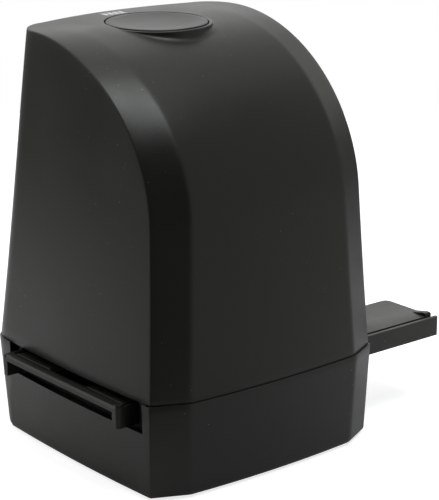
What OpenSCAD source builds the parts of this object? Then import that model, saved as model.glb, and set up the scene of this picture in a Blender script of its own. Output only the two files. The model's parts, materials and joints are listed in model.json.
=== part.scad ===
// Desktop film negative scanner: a two-part housing, a scan button on top and a film holder
// that slides through the base from side to side.
// X runs along the film holder, -Y is the arched side, +Y the leaning user side, +Z is up.
// The origin lies on the table, below the centre of everything with the holder at rest.

/* [Housing] */
// Height of the flat top above the table
body_h = 162; // [155:1:170]
// Width across the crowned side walls
body_w = 111; // [108:1:118]
// Depth from the arched side to the leaning side, at the joint of the two shells
body_d = 119; // [116:1:126]
// Height of the upper shell's lower edge
seam_z = 37.5; // [37:0.1:38.5]
// Gap that shows between the two shells
seam_gap = 0.4; // [0.3:0.1:0.6]
// Wall thickness of the upper shell
wall = 2.2; // [2:0.1:2.6]
// How far the lower shell stands out at the joint
base_step = 0.4; // [0.2:0.1:0.6]
// Wall thickness of the lower shell
base_wall = 2.2; // [2:0.1:2.4]
// Thickness of the floor
floor_t = 2.2; // [2:0.1:3]
// How far the rubber feet lift the housing
foot_lift = 1.3; // [1:0.1:2]
// Diameter of each rubber foot
foot_d = 11; // [9:0.5:12]

/* [Shape of the shells] */
// Width of the slanted strip beside the arched face
facet_w = 13.5; // [12:0.5:15]
// How far that strip runs back
facet_d = 6.5; // [5.5:0.1:7.5]
// Crown of the arched face between its strips
front_crown = 1.7; // [1:0.1:2.2]
// Crown of the side walls
side_crown = 1.4; // [1:0.1:1.8]
// How much narrower each side is at the back
side_taper = 0.8; // [0.4:0.1:1.4]
// Crown of the leaning wall
back_crown = 4.8; // [4:0.1:5.4]
// Radius of the two back corners
corner_r = 10.4; // [9.6:0.1:12]
// How much larger those corners are at the very top
corner_grow = 3; // [0:0.1:4]
// How much larger they are at the table
corner_grow_low = 3; // [0:0.1:4]
// Inward lean of the side walls, per millimetre of height
side_lean = 0.046; // [0.04:0.001:0.05]
// Extra inward bow of the side walls halfway up
side_bow = 1.1; // [0.6:0.1:1.4]
// Lean of the arched side below its arch, per millimetre of height
front_lean = 0.055; // [0.045:0.001:0.065]
// Lean of the user side, per millimetre of height
back_lean = 0.128; // [0.12:0.001:0.135]
// Height at which the arch begins
arch_z = 101.3; // [98:0.1:105]
// Fullness of the arch, where 2 is a true ellipse
arch_power = 2; // [1.95:0.01:2.1]

/* [Film holder] */
// From the front of the housing to the holder's near edge
holder_front_gap = 19.5; // [18.8:0.1:20.4]
// From the holder's far edge to the back of the housing
holder_back_gap = 24.5; // [23:0.5:28]
// Height of its side rails
holder_h = 8; // [7.7:0.1:8.3]
// Length of the holder past the film at its left end
left_end = 3.4; // [3:0.1:5]
// Length of its full width past the film at the right
right_end = 1; // [0.8:0.1:3]
// Length of the handle
handle_l = 45.6; // [40:0.1:52]
// Width of the handle
handle_w = 29.4; // [25:0.2:32]
// Width of its side rails
rail_w = 3.3; // [2.8:0.1:3.6]
// Width of each rail's full-height rim
rim_w = 1.6; // [1.4:0.1:1.8]
// Thickness of its cover
cover_t = 2; // [1.8:0.1:2.2]
// Number of picture windows
frames = 3; // [3:2:5]
// Picture window along the film
window_l = 36; // [35:0.5:36]
// Bar between two picture windows
frame_bar = 2; // [1.6:0.1:3]
// Picture window across the film
window_w = 24; // [23:0.5:25]
// Width of the film
film_w = 35; // [35:0.5:36]
// Gap between the near end of the slot and the holder
slot_near_gap = 6.9; // [6:0.1:7.5]
// Gap between the far end of the slot and the holder
slot_far_gap = 4.4; // [3.5:0.1:5]
// Running gap between the holder and what guides it
glide = 0.35; // [0.3:0.05:0.4]

/* [Scan button] */
// Diameter of the cap
cap_d = 39; // [36:0.5:40]
// Gap round the cap
cap_gap = 0.5; // [0.4:0.1:0.7]
// How far the cap lies below the flat top
cap_drop = 0.6; // [0.4:0.1:0.8]
// Depth of the dish in the cap
dish = 1.2; // [0.8:0.1:1.6]
// Travel of the button
press = 0.5; // [0.3:0.1:0.6]
// Centre of the button in front of the back corners' upper ends
cap_setback = 11.8; // [11:0.1:13]

/* [Optics] */
// Diameter of the lens barrel
barrel_d = 12; // [11:0.5:12.5]
// Height of the sensor board above the top of the film gate
sensor_rise = 69.5; // [66:0.5:74]
// Clear radial gap between barrel and lens holder
barrel_fit = 0.05; // [0.03:0.01:0.08]

/* [Hidden] */
$fn = 48;

// Small values that several pieces share
eps = 0.01;
seat_gap = 0.2;         // between pieces that are clipped or dropped in
stack_gap = 0.05;       // between pieces that lie on each other
shank_fit = 0.05;       // radial, a screw in its own hole
run_fit = 0.1;          // radial, a sliding stem in its bore
board_t = 1.6;

// Housing lines, in the frame of the housing: X across, Y front to back
rise_top = body_h - seam_z;
front_y = -body_d / 2 + base_step;
back_y = body_d / 2 - base_step;
crease_y0 = front_y + front_crown + facet_d;
corner_back_y = back_y - back_crown;
corner_y0 = corner_back_y - corner_r;
crease_x0 = body_w / 2 - base_step - side_crown + side_taper / 2;
corner_top_y = corner_y0 - back_lean * rise_top - corner_grow;
arch_end_y = corner_top_y - front_lean * rise_top - 0.3;
arch_reach = arch_end_y - crease_y0;
arch_h = body_h - arch_z;
cap_y = corner_top_y - cap_setback;
frame_pitch = window_l + frame_bar;
film_hx = frames * frame_pitch / 2;
holder_left = film_hx + left_end;
holder_step = film_hx + right_end;
holder_right = holder_step + handle_l;
reach_mid = (holder_right - holder_left) / 2;

// Heights of the stack, from the table up
floor_z = foot_lift + floor_t;
holder_z1 = seam_z - 2.44;
holder_z0 = holder_z1 - holder_h;
stage_z1 = holder_z0 - glide;
stage_t = 2.8;
stage_z0 = stage_z1 - stage_t;
slot_z0 = stage_z1 - 0.8;
nub_h = 1.2;
gate_z0 = holder_z1 + nub_h + glide;
gate_t = 3;
gate_z1 = gate_z0 + gate_t;
sensor_z = gate_z1 + sensor_rise;
lip_z = seam_z + 2.1;
base_top = seam_z - seam_gap;

// Film line and holder edges
holder_y0 = holder_front_gap - body_d / 2;
holder_y1 = body_d / 2 - holder_back_gap;
film_y = (holder_y0 + holder_y1) / 2;
handle_y1 = holder_y0 + handle_w;
slot_y0 = holder_y0 - slot_near_gap;
slot_y1 = holder_y1 + slot_far_gap;

function clamp01(v) = min(1, max(0, v));
function rise(z) = max(0, z - seam_z);
function reverse(list) = [for (i = [len(list) - 1 : -1 : 0]) list[i]];

// Crease between the side wall and the strip: straight and leaning, then over the arch
function arch_x(z, inset) =
  z <= arch_z ? 1 : pow(max(0, 1 - pow((z - arch_z) / (arch_h - inset), arch_power)), 1 / arch_power);
function crease_y(z, inset) =
  arch_end_y + front_lean * rise(z) - (arch_reach - inset) * arch_x(z, inset);
// Half width of the housing at depth y and height z
function side_x(y, z) =
  let (s = clamp01((y - crease_y0) / (corner_y0 - crease_y0)), u = clamp01(rise(z) / rise_top))
  crease_x0 - side_taper * s + 4 * side_crown * s * (1 - s)
    - side_lean * rise(z) - 4 * side_bow * u * (1 - u);

// Radius of the back corners at height z, and the depth at which they start
corner_ease = 4;        // how late they grow
function corner_at(z) = corner_r + corner_grow * pow(clamp01(rise(z) / rise_top), corner_ease);
function corner_y(z) = corner_y0 - back_lean * rise(z) - (corner_at(z) - corner_r);

// One closed outline of the housing at height z, counter-clockwise from the left crease
crown_steps = 8;
side_steps = 5;
corner_steps = 6;
function half_front(z, inset, front_in) =
  let (yc = crease_y(z, inset) + front_in, xc = side_x(crease_y(z, 0), z) - inset,
       xs = xc - facet_w)
  concat([[xc, yc]], [for (i = [0 : crown_steps / 2])
    let (f = 1 - 2 * i / crown_steps) [xs * f, yc - facet_d - front_crown * (1 - f * f)]]);
function half_back(z, inset, front_in, back_in, more) =
  let (yc = crease_y(z, inset) + front_in, ys = corner_y(z) - back_in - more,
       full = corner_at(z) + more, xe = side_x(corner_y(z), z) - full, r = full - inset)
  concat(
    [for (i = [1 : side_steps]) let (y = yc + (ys - yc) * i / side_steps)
      [(i == side_steps ? xe + r : side_x(y, z) - inset), y]],
    [for (i = [1 : corner_steps]) let (a = 90 * i / corner_steps)
      [xe + r * cos(a), ys + r * sin(a)]],
    [for (i = [1 : crown_steps / 2]) let (f = 1 - 2 * i / crown_steps)
      [xe * f, ys + r + back_crown * (1 - f * f)]]);
function outline(z, at_z, inset, front_in = 0, back_in = 0, more = 0) =
  let (front = half_front(z, inset, front_in),
       back = half_back(z, inset, front_in, back_in, more),
       right = concat(reverse(front), back),
       left = [for (i = [len(right) - 2 : -1 : 1]) [-right[i][0], right[i][1]]])
  [for (p = concat(right, left)) [p[0], p[1], at_z]];

// Skin through a list of outlines with the same number of points, closed at both ends
module loft(rings) {
  n = len(rings[0]);
  last = (len(rings) - 1) * n;
  polyhedron(
    points = [for (r = rings) for (p = r) p],
    faces = concat(
      [for (i = [1 : n - 2]) [0, i, i + 1]],
      [for (a = [0 : n : last - 1]) for (j = [0 : n - 1]) [a + j, a + n + j, a + n + (j + 1) % n]],
      [for (a = [0 : n : last - 1]) for (j = [0 : n - 1]) [a + j, a + n + (j + 1) % n, a + (j + 1) % n]],
      [for (i = [1 : n - 2]) [last, last + i + 1, last + i]]),
    convexity = 6);
}

module block(x0, x1, y0, y1, z0, z1) {
  translate([x0, y0, z0]) cube([x1 - x0, y1 - y0, z1 - z0]);
}
// A round rod or hole from z0 to z1
module rod(x, y, z0, z1, d) {
  translate([x, y, z0]) cylinder(d = d, h = z1 - z0);
}
// The housing's own frame is centred on the housing; this shifts a piece to the shared origin
module placed() {
  translate([-reach_mid, 0, 0]) children();
}
// The same child at each of a list of [x, y] places
module at_each(places) {
  for (p = places) translate([p[0], p[1], 0]) children();
}

// More heights that several pieces share
cover_z0 = holder_z1 - cover_t;
film_room = 0.5;
film_z = cover_z0 - film_room;
web_t = 1.5;
tower_z0 = gate_z1 + stack_gap;
tower_drop = 14;        // from the sensor board down to the tower's top
tower_z1 = sensor_z - tower_drop;
flange_t = 2.5;
board_lift = 3.5;
board_z0 = floor_z + board_lift;
board_z1 = board_z0 + board_t;
post_z0 = floor_z + 4.6;
post_z1 = lip_z + 14;

// Screws, posts and bosses
post_d = 7;
boss_d = 5;
screw_d = 3;
screw_head_d = 5.6;
screw_head_h = 2;
small_screw_d = 2;
small_head_d = 3.8;
small_head_h = 1.4;
small_pilot_d = small_screw_d + 2 * shank_fit;
small_hole_d = small_screw_d + 0.3;
small_grip = 5;         // how deep a small screw reaches into its pilot hole

// Where they stand, as [x, y]
function four(x, y, mid) = [for (sx = [-1, 1]) for (sy = [-1, 1]) [sx * x, mid + sy * y]];
post_front = [crease_x0 - 12, crease_y0 + 4.3];
post_back = [crease_x0 - 10, corner_y0 - 1.5];
corner_posts = [for (sx = [-1, 1]) for (p = [post_front, post_back]) [sx * p[0], p[1]]];
near_fence_w = 4.8;
far_fence_w = 3.6;
thin_fence_w = 2.6;
fence_y0 = holder_y0 - glide - near_fence_w;
fence_y1 = holder_y1 + glide + far_fence_w;
fence_x = post_front[0] - post_d / 2 - 2;
stage_x = crease_x0 - 3.3;
tab_d = 7;
tab_front = [crease_x0 - 24, fence_y0 - 4];
tab_back = [crease_x0 - 20, fence_y1 + 5];
tab_posts = [for (sx = [-1, 1]) for (p = [tab_front, tab_back]) [sx * p[0], p[1]]];
gate_screws_at = [for (sx = [-1, 1]) for (y = [fence_y0 + near_fence_w / 2, fence_y1 - far_fence_w / 2])
  [sx * (fence_x - 3.5), y]];
feet_at = four(crease_x0 - foot_d, corner_y0 - foot_d, 0);
window_xs = [for (i = [0 : frames - 1]) (i - (frames - 1) / 2) * frame_pitch];
light_hx = window_l / 2 + 13;
light_hy = window_w / 2 + 12;
light_wall = 2.5;
led_board_hx = light_hx - light_wall;
led_board_hy = light_hy - light_wall;
led_posts_at = four(led_board_hx - 4, led_board_hy - 4, film_y);
diffuser_t = 1.6;
diffuser_z0 = stage_z0 - diffuser_t - 2 * stack_gap;
main_hx = tab_back[0] - tab_d / 2 - 2.6;
main_y0 = film_y + light_hy + 2;
main_y1 = corner_back_y - 1.9;
main_posts_at = four(main_hx - 3, (main_y1 - main_y0) / 2 - 3.4, (main_y0 + main_y1) / 2);

// Scan button, from the top down
cap_z1 = body_h - cap_drop;
collar_z1 = body_h - 0.4;
well_d = cap_d + 2 * cap_gap;
collar_d = well_d + 2.6;
well_z0 = body_h - 9;
cap_skirt = 6;
cap_plate = 4;
cap_under = cap_z1 - cap_plate;
guide_z1 = body_h - 12;
guide_t = 2;
guide_r = 27;
hole_ring_r = 17;
guide_screw_r = 24;
guide_tube = 2.7;
stem_d = 8;
stem_z0 = guide_z1 - 6;
clip_t = 0.6;
clip_groove_d = 6.4;
plunger_z1 = stem_z0 - 0.05;
plunger_d = 3.4;
plunger_out = 1.45;
switch_z1 = plunger_z1 - plunger_out;
switch_h = 3.5;
switch_board_z1 = switch_z1 - switch_h;
switch_board_z0 = switch_board_z1 - board_t;
guide_screws_at = [for (a = [90, 200, 340]) [guide_screw_r * cos(a), cap_y + guide_screw_r * sin(a)]];
cradle_at = [for (sx = [-1, 1]) [sx * 9.5, cap_y]];
spring_z0 = guide_z1 + stack_gap;
spring_z1 = cap_under - stack_gap;

// Flat leads run down behind the optics
lead_t = 0.3;
lead_y = fence_y1 + 0.7;
lead_bend = 3;

module screw(head_d, head_h, shank_d, shank_l, head_z, up = false) {
  // The head's bearing face lies at head_z; the shank runs down from it, or up
  side = up ? -1 : 1;
  difference() {
    union() {
      translate([0, 0, head_z]) mirror([0, 0, up ? 1 : 0]) cylinder(d = head_d, h = head_h);
      translate([0, 0, head_z]) mirror([0, 0, up ? 0 : 1]) cylinder(d = shank_d, h = shank_l);
    }
    for (a = [0, 90]) translate([0, 0, head_z + side * head_h]) rotate([0, 0, a])
      cube([head_d * 0.6, head_d * 0.16, head_h], center = true);
  }
}
module small_screw(shank_l, head_z, up = false)
  screw(small_head_d, small_head_h, small_screw_d, shank_l, head_z, up);
// A flat plate with its own radius at each corner, counter-clockwise from [x0, y0]
function corner(cx, cy, r, a0) = r == 0 ? [[cx, cy]]
  : [for (i = [0 : 6]) let (a = a0 + 15 * i) [cx + r * cos(a), cy + r * sin(a)]];
module slab(x0, x1, y0, y1, z0, z1, r = [0, 0, 0, 0]) {
  translate([0, 0, z0]) linear_extrude(height = z1 - z0) polygon(concat(
    corner(x0 + r[0], y0 + r[0], r[0], 180), corner(x1 - r[1], y0 + r[1], r[1], 270),
    corner(x1 - r[2], y1 - r[2], r[2], 0), corner(x0 + r[3], y1 - r[3], r[3], 90)));
}
function rectangle(hx, hy, z) =
  [[-hx, film_y - hy, z], [hx, film_y - hy, z], [hx, film_y + hy, z], [-hx, film_y + hy, z]];
module windows(z0, z1, grow = 0) {
  for (x = window_xs) block(x - window_l / 2 - grow, x + window_l / 2 + grow,
    film_y - window_w / 2 - grow, film_y + window_w / 2 + grow, z0, z1);
}

// ---- Housing ----
wall_steps = 4;
arch_steps = 12;
housing_screw_l = 14;
pilot_depth = 12;
rib_t = 2;
guide_boss_d = 6;
function heights(inset) = concat(
  [for (i = [0 : wall_steps]) seam_z + (arch_z - seam_z) * i / wall_steps],
  [for (i = [1 : arch_steps]) arch_z + (arch_h - inset) * sin(90 * i / arch_steps)]);
upper_rings = concat(
  reverse([for (z = heights(wall)) outline(z, z, wall)]),
  [for (z = heights(0)) outline(z, z, 0)]);

module upper_housing() color("#2b2b29") placed() difference() {
  union() {
    loft(upper_rings);
    rod(0, cap_y, well_z0, collar_z1, collar_d);
    // Long posts that reach down to the floor of the lower shell, each with a rib to the side wall
    at_each(corner_posts) rod(0, 0, post_z0, post_z1, post_d);
    for (p = corner_posts) let (xw = sign(p[0]) * (crease_x0 - 1.6 - side_lean * (post_z1 - seam_z)))
      block(min(p[0], xw), max(p[0], xw), p[1] - rib_t / 2, p[1] + rib_t / 2, lip_z + 1, post_z1 - 2);
    at_each(guide_screws_at) rod(0, 0, guide_z1 + stack_gap, body_h - wall - 0.3, guide_boss_d);
  }
  rod(0, cap_y, well_z0 - 1, body_h + 1, well_d);
  at_each(corner_posts) rod(0, 0, post_z0 - 1, post_z0 + pilot_depth, screw_d + 2 * shank_fit);
  at_each(guide_screws_at) rod(0, 0, guide_z1 - 1, guide_z1 + small_grip + 1, small_pilot_d);
}

// The lower shell stands out at the joint and draws in a little towards the table
base_in_x = 1.2;
base_in_front = 0.3;
base_in_back = 1;
lip_fit = 0.3;
lip_t = 1.2;
function base_outline(z, inset) =
  let (f = (base_top - z) / (base_top - foot_lift))
  outline(seam_z, z, inset - base_step + f * base_in_x, f * base_in_front, f * base_in_back,
    f * corner_grow_low);
lip_in = wall + lip_fit;
lower_rings = [
  base_outline(foot_lift, 0), base_outline(base_top, 0),
  outline(seam_z, base_top, lip_in), outline(lip_z, lip_z, lip_in),
  outline(lip_z, lip_z, lip_in + lip_t), outline(seam_z, base_top - 2.4, lip_in + lip_t),
  base_outline(base_top - 4.6, base_wall), base_outline(floor_z, base_wall),
];
usb_w = 7.7;
usb_h = 3.9;
usb_l = 9.2;
usb_wall = 0.4;
usb_y1 = back_y - base_wall - 0.6;
usb_z0 = board_z1 + stack_gap;
head_z = foot_lift + screw_head_h + 1;
foot_recess = 0.8;
foot_play = 0.2;
socket_play = 0.5;      // between the socket and its window in the wall

module lower_housing() color("#2d2d2b") placed() difference() {
  union() {
    loft(lower_rings);
    at_each(corner_posts) rod(0, 0, foot_lift + 1, post_z0 - stack_gap, screw_head_d + 3.8);
    at_each(tab_posts) rod(0, 0, foot_lift + 1, stage_z0 - stack_gap, tab_d);
    at_each(concat(main_posts_at, led_posts_at)) rod(0, 0, foot_lift + 1, board_z0 - stack_gap, boss_d);
  }
  for (sx = [-1, 1])
    block(sx > 0 ? fence_x : -body_w, sx > 0 ? body_w : -fence_x, slot_y0, slot_y1, slot_z0, lip_z + 1);
  block(-usb_w / 2 - socket_play, usb_w / 2 + socket_play, corner_y0, body_d,
    usb_z0 - socket_play, usb_z0 + usb_h + socket_play);
  at_each(corner_posts) rod(0, 0, 0, post_z0 + 1, screw_d + 0.4);
  at_each(corner_posts) rod(0, 0, 0, head_z, screw_head_d + 0.8);
  at_each(feet_at) rod(0, 0, 0, foot_lift + foot_recess, foot_d + foot_play);
  at_each(tab_posts) rod(0, 0, stage_z0 - small_grip - 1, stage_z0 + 1, small_pilot_d);
  at_each(main_posts_at) rod(0, 0, board_z0 - small_grip + 0.4, board_z0 + 1, small_pilot_d);
}

module rubber_feet() color("#191919") placed()
  at_each(feet_at) rod(0, 0, 0, foot_lift + foot_recess - eps, foot_d);

module housing_screws() color("#8d8f92") placed()
  at_each(corner_posts) screw(screw_head_d, screw_head_h, screw_d, housing_screw_l, head_z, up = true);

// ---- Film guide ----
stage_play = 0.4;
window_play = 1;
post_play = 0.8;
module fence(x, y0, y1) block(-x, x, y0, y1, stage_z0, gate_z0 - stack_gap);
module film_stage() color("#1d1d1c") placed() difference() {
  union() {
    block(-stage_x, stage_x, slot_y0 + stage_play, slot_y1 - stage_play, stage_z0, stage_z1);
    at_each(tab_posts) rod(0, 0, stage_z0, stage_z1, tab_d);
    for (p = tab_posts) block(p[0] - tab_d / 2, p[0] + tab_d / 2,
      p[1] < 0 ? p[1] : fence_y1 - 3, p[1] < 0 ? fence_y0 + 3 : p[1], stage_z0, stage_z1);
    // Fences on both sides of the holder: thin out to the slots, thick below the gate
    fence(stage_x, holder_y0 - glide - thin_fence_w, holder_y0 - glide);
    fence(stage_x, holder_y1 + glide, holder_y1 + glide + thin_fence_w);
    fence(fence_x, fence_y0, holder_y0 - glide);
    fence(fence_x, holder_y1 + glide, fence_y1);
  }
  block(-window_l / 2 - window_play, window_l / 2 + window_play, film_y - window_w / 2 - window_play,
    film_y + window_w / 2 + window_play, stage_z0 - 1, stage_z1 + 1);
  at_each(corner_posts) rod(0, 0, stage_z0 - 1, gate_z1, post_d + post_play);
  at_each(tab_posts) rod(0, 0, stage_z0 - 1, stage_z1 + 1, small_hole_d);
  at_each(gate_screws_at) rod(0, 0, gate_z0 - small_grip - 1, gate_z1, small_pilot_d);
  block(-detent_l / 2 - detent_play, detent_l / 2 + detent_play, detent_y - detent_w / 2 - detent_play,
    detent_y + detent_w / 2 + detent_play, detent_z0 - stack_gap, stage_z1 + 1);
}
module stage_screws() color("#8d8f92") placed()
  at_each(tab_posts) small_screw(stage_t + small_grip, stage_z1 + eps);

detent_l = 24;
detent_w = 2.2;
detent_t = 0.3;
detent_play = 0.3;
bump_h = 0.9;
bump_r = 4;
detent_y = holder_y1 - rail_w / 2;
detent_z0 = stage_z1 - detent_t - bump_h + 0.1;
// A leaf spring with a raised bump that meets a notch in the far rail
module detent_spring() color("#b9bbbe") placed()
  translate([0, detent_y + detent_w / 2, detent_z0]) rotate([90, 0, 0]) linear_extrude(height = detent_w)
    polygon(concat([[-detent_l / 2, 0]], detent_curve(0), [[detent_l / 2, 0], [detent_l / 2, detent_t]],
      reverse(detent_curve(detent_t)), [[-detent_l / 2, detent_t]]));
function detent_curve(t) = [for (i = [0 : 8]) [(i / 4 - 1) * bump_r, t + bump_h / 2 * (1 - cos(45 * i))]];

gate_play = 0.4;
module film_gate() color("#1d1d1c") placed() difference() {
  block(-fence_x, fence_x, fence_y0, fence_y1, gate_z0, gate_z1);
  block(-window_l / 2 - gate_play, window_l / 2 + gate_play, film_y - window_w / 2 - gate_play,
    film_y + window_w / 2 + gate_play, gate_z0 - 1, gate_z1 + 1);
  at_each(gate_screws_at) rod(0, 0, gate_z0 - 1, gate_z1 + 1, small_hole_d);
  at_each(tower_screws_at) rod(0, 0, gate_z0 - 1, gate_z1 + 1, small_pilot_d);
}
module gate_screws() color("#8d8f92") placed()
  at_each(gate_screws_at) small_screw(gate_t + small_grip, gate_z1 + eps);

// ---- Backlight ----
ledge_w = 2;
module light_box() color("#e9e9e4") placed() difference() {
  block(-light_hx, light_hx, film_y - light_hy, film_y + light_hy, floor_z + stack_gap, stage_z0 - stack_gap);
  block(-led_board_hx - 0.2, led_board_hx + 0.2, film_y - led_board_hy - 0.2, film_y + led_board_hy + 0.2,
    floor_z - 1, board_z1 + stack_gap);
  block(-led_board_hx + ledge_w, led_board_hx - ledge_w, film_y - led_board_hy + ledge_w,
    film_y + led_board_hy - ledge_w, board_z0, stage_z0 + 1);
  block(-led_board_hx, led_board_hx, film_y - led_board_hy, film_y + led_board_hy,
    diffuser_z0 - stack_gap, stage_z0 + 1);
  block(back_lead_x - lead_w / 2 - 2, back_lead_x + lead_w / 2 + 2, film_y, film_y + light_hy + 1,
    board_z1 - 1, board_z1 + flat_plug_h + 1);
}
module diffuser() color("#f4f4f0") placed()
  block(-led_board_hx + seat_gap, led_board_hx - seat_gap, film_y - led_board_hy + seat_gap,
    film_y + led_board_hy - seat_gap, diffuser_z0, diffuser_z0 + diffuser_t);
module backlight_board() color("#e6e8e6") placed()
  block(-led_board_hx, led_board_hx, film_y - led_board_hy, film_y + led_board_hy, board_z0, board_z1);
led_w = 5;
led_h = 1.6;
led_xs = [for (i = [-2 : 2]) i * (window_l + 2) / 4];
led_ys = [for (j = [-1 : 1]) film_y + j * (window_w - 4) / 2];
module backlight_leds() color("#f2efc8") placed()
  for (x = led_xs) for (y = led_ys) difference() {
    block(x - led_w / 2, x + led_w / 2, y - led_w / 2, y + led_w / 2, board_z1, board_z1 + led_h);
    rod(x, y, board_z1 + led_h - 0.3, board_z1 + led_h + 1, led_w - 1.2);
  }

// ---- Optics ----
tower_wall = 2;
tower_base = [window_l / 2 + 9, window_w / 2 + 8.5];
tower_top = [barrel_d + 5, barrel_d + 3];
sensor_posts_at = four(tower_top[0] - 3.5, tower_top[1] - 4, film_y);
ear_half = 3;
tower_ear = [tower_base[0] + 2, tower_base[1] + 0.5];
tower_screws_at = four(tower_ear[0], tower_ear[1], film_y);
holder_tube_d = barrel_d + 3.6;
holder_tube_z0 = sensor_z - 19;
holder_flange_h = 5;
holder_flange_z0 = sensor_z - holder_flange_h;
holder_flange = barrel_d / 2 + 3;
holder_screws_at = [for (sy = [-1, 1]) [0, film_y + sy * (holder_flange + 2.5)]];
module optics_tower() color("#1d1d1c") placed() difference() {
  union() {
    loft([
      rectangle(tower_top[0] - tower_wall, tower_top[1] - tower_wall, tower_z1 - flange_t),
      rectangle(tower_base[0] - tower_wall, tower_base[1] - tower_wall, tower_z0),
      rectangle(tower_base[0], tower_base[1], tower_z0), rectangle(tower_top[0], tower_top[1], tower_z1)]);
    for (p = tower_screws_at) let (x = sign(p[0]) * (tower_base[0] - 3))
      block(min(p[0], x), max(p[0], x), p[1] - ear_half, p[1] + ear_half, tower_z0, tower_z0 + flange_t);
    at_each(tower_screws_at) rod(0, 0, tower_z0, tower_z0 + flange_t, 2 * ear_half);
    at_each(sensor_posts_at) rod(0, 0, tower_z1 - 1, sensor_z - stack_gap, boss_d);
  }
  rod(0, film_y, tower_z1 - flange_t - 1, tower_z1 + 1, holder_tube_d + 0.6);
  at_each(tower_screws_at) rod(0, 0, tower_z0 - 1, tower_z0 + flange_t + 1, small_hole_d);
  at_each(sensor_posts_at) rod(0, 0, sensor_z - small_grip - 1, sensor_z + 1, small_pilot_d);
}
module tower_screws() color("#8d8f92") placed()
  at_each(tower_screws_at)
    small_screw(flange_t + gate_t - 0.2, tower_z0 + flange_t + eps);

// Everything between the lens and the sensor board hangs from the board
sensor_hx = 6;
filter_z0 = sensor_z - 3.6;
module lens_holder() color("#222222") placed() difference() {
  union() {
    rod(0, film_y, holder_tube_z0, holder_flange_z0 + 1, holder_tube_d);
    slab(-holder_flange, holder_flange, film_y - holder_flange, film_y + holder_flange,
      holder_flange_z0, sensor_z - stack_gap, [1, 1, 1, 1]);
    slab(-ear_half, ear_half, film_y - holder_flange - 5.5, film_y + holder_flange + 5.5,
      holder_flange_z0, sensor_z - stack_gap, [ear_half, ear_half, ear_half, ear_half]);
  }
  rod(0, film_y, holder_tube_z0 - 1, sensor_z, barrel_d + 2 * barrel_fit);
  block(-sensor_hx - 0.8, sensor_hx + 0.8, film_y - sensor_hx - 0.8, film_y + sensor_hx + 0.8,
    filter_z0, sensor_z + 1);
  at_each(holder_screws_at) rod(0, 0, holder_flange_z0 - 1, sensor_z + 1, small_pilot_d);
}
module lens_holder_screws() color("#8d8f92") placed()
  at_each(holder_screws_at)
    small_screw(board_t + small_grip - 1, sensor_z + board_t + eps);

barrel_z0 = sensor_z - 23;
barrel_z1 = sensor_z - 6;
barrel_seat = 2;
rim_h = 3;
glass_d = barrel_d - 2.4;
glass_seat = 1.2;
glass_r = 20;
module lens_barrel() color("#27272a") placed() difference() {
  union() {
    rod(0, film_y, barrel_z0, barrel_z1, barrel_d);
    rod(0, film_y, barrel_z0, barrel_z0 + rim_h, barrel_d + 2);
  }
  rod(0, film_y, barrel_z0 - 1, barrel_z1 - barrel_seat, glass_d + 2 * barrel_fit);
  rod(0, film_y, barrel_z0, barrel_z1 + 1, glass_d - 2 * glass_seat);
}
// Three glasses, stacked down from the seat near the top of the barrel
glass_t = [2.6, 1.6, 2.4];
spacer_t = [2.4, 2.2, 1.6];
function stack_top(i) = i == 0 ? barrel_z1 - barrel_seat - stack_gap
  : stack_top(i - 1) - glass_t[i - 1] - spacer_t[i - 1] - 2 * stack_gap;
module lens_elements() color("#a9c4d8") placed()
  for (i = [0 : 2]) intersection() {
    rod(0, film_y, stack_top(i) - glass_t[i], stack_top(i), glass_d);
    translate([0, film_y, stack_top(i) - glass_r]) sphere(r = glass_r, $fn = 64);
  }
module lens_spacers() color("#1d1d1d") placed()
  for (i = [0 : 2]) let (z1 = stack_top(i) - glass_t[i] - stack_gap) difference() {
    rod(0, film_y, z1 - spacer_t[i], z1, glass_d);
    rod(0, film_y, z1 - spacer_t[i] - 1, z1 + 1, glass_d - 1.6);
  }
module ir_filter() color("#c8d6c2") placed()
  block(-sensor_hx - 0.4, sensor_hx + 0.4, film_y - sensor_hx - 0.4, film_y + sensor_hx + 0.4,
    filter_z0 + stack_gap, filter_z0 + 0.6);
module image_sensor() color("#3b3f45") placed() difference() {
  block(-sensor_hx, sensor_hx, film_y - sensor_hx, film_y + sensor_hx, sensor_z - 1.7, sensor_z);
  block(-sensor_hx + 1.6, sensor_hx - 1.6, film_y - sensor_hx + 2.4, film_y + sensor_hx - 2.4,
    sensor_z - 2, sensor_z - 1.3);
}
module sensor_board() color("#1f5a3a") placed() difference() {
  slab(-tower_top[0] - 1, tower_top[0] + 1, film_y - tower_top[1], film_y + tower_top[1] + 5,
    sensor_z, sensor_z + board_t, [1, 1, 1, 1]);
  at_each(concat(sensor_posts_at, holder_screws_at))
    rod(0, 0, sensor_z - 1, sensor_z + board_t + 1, small_hole_d);
}
module sensor_board_screws() color("#8d8f92") placed()
  at_each(sensor_posts_at) small_screw(board_t + 5, sensor_z + board_t + eps);

// ---- Electronics in the base ----
module main_board() color("#1f5a3a") placed() difference() {
  slab(-main_hx, main_hx, main_y0, main_y1, board_z0, board_z1, [1, 1, 1, 1]);
  at_each(main_posts_at) rod(0, 0, board_z0 - 1, board_z1 + 1, small_hole_d);
}
module main_board_screws() color("#8d8f92") placed()
  at_each(main_posts_at) small_screw(board_t + board_lift - 0.9, board_z1 + eps);
module chip(x, y, w, d, h) slab(x - w / 2, x + w / 2, y, y + d, board_z1, board_z1 + h, [0.5, 0.5, 0.5, 0.5]);
module controller_chip() color("#222426") placed() 
  chip(-main_hx / 2, main_y0 + chip_edge, controller_l, controller_l, 1.4);
module memory_chip() color("#222426") placed() 
  chip(main_hx - screw_room - memory_l / 2, main_y0 + chip_edge + 1, memory_l, 6, 1.1);
sensor_lead_x = -12;
switch_lead_x = 7;
back_lead_x = 2;
lead_w = 9;
lead_play = 0.05;
plug_h = 3.4;
plug_rim = 1.5;
flat_plug_h = 2;
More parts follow.
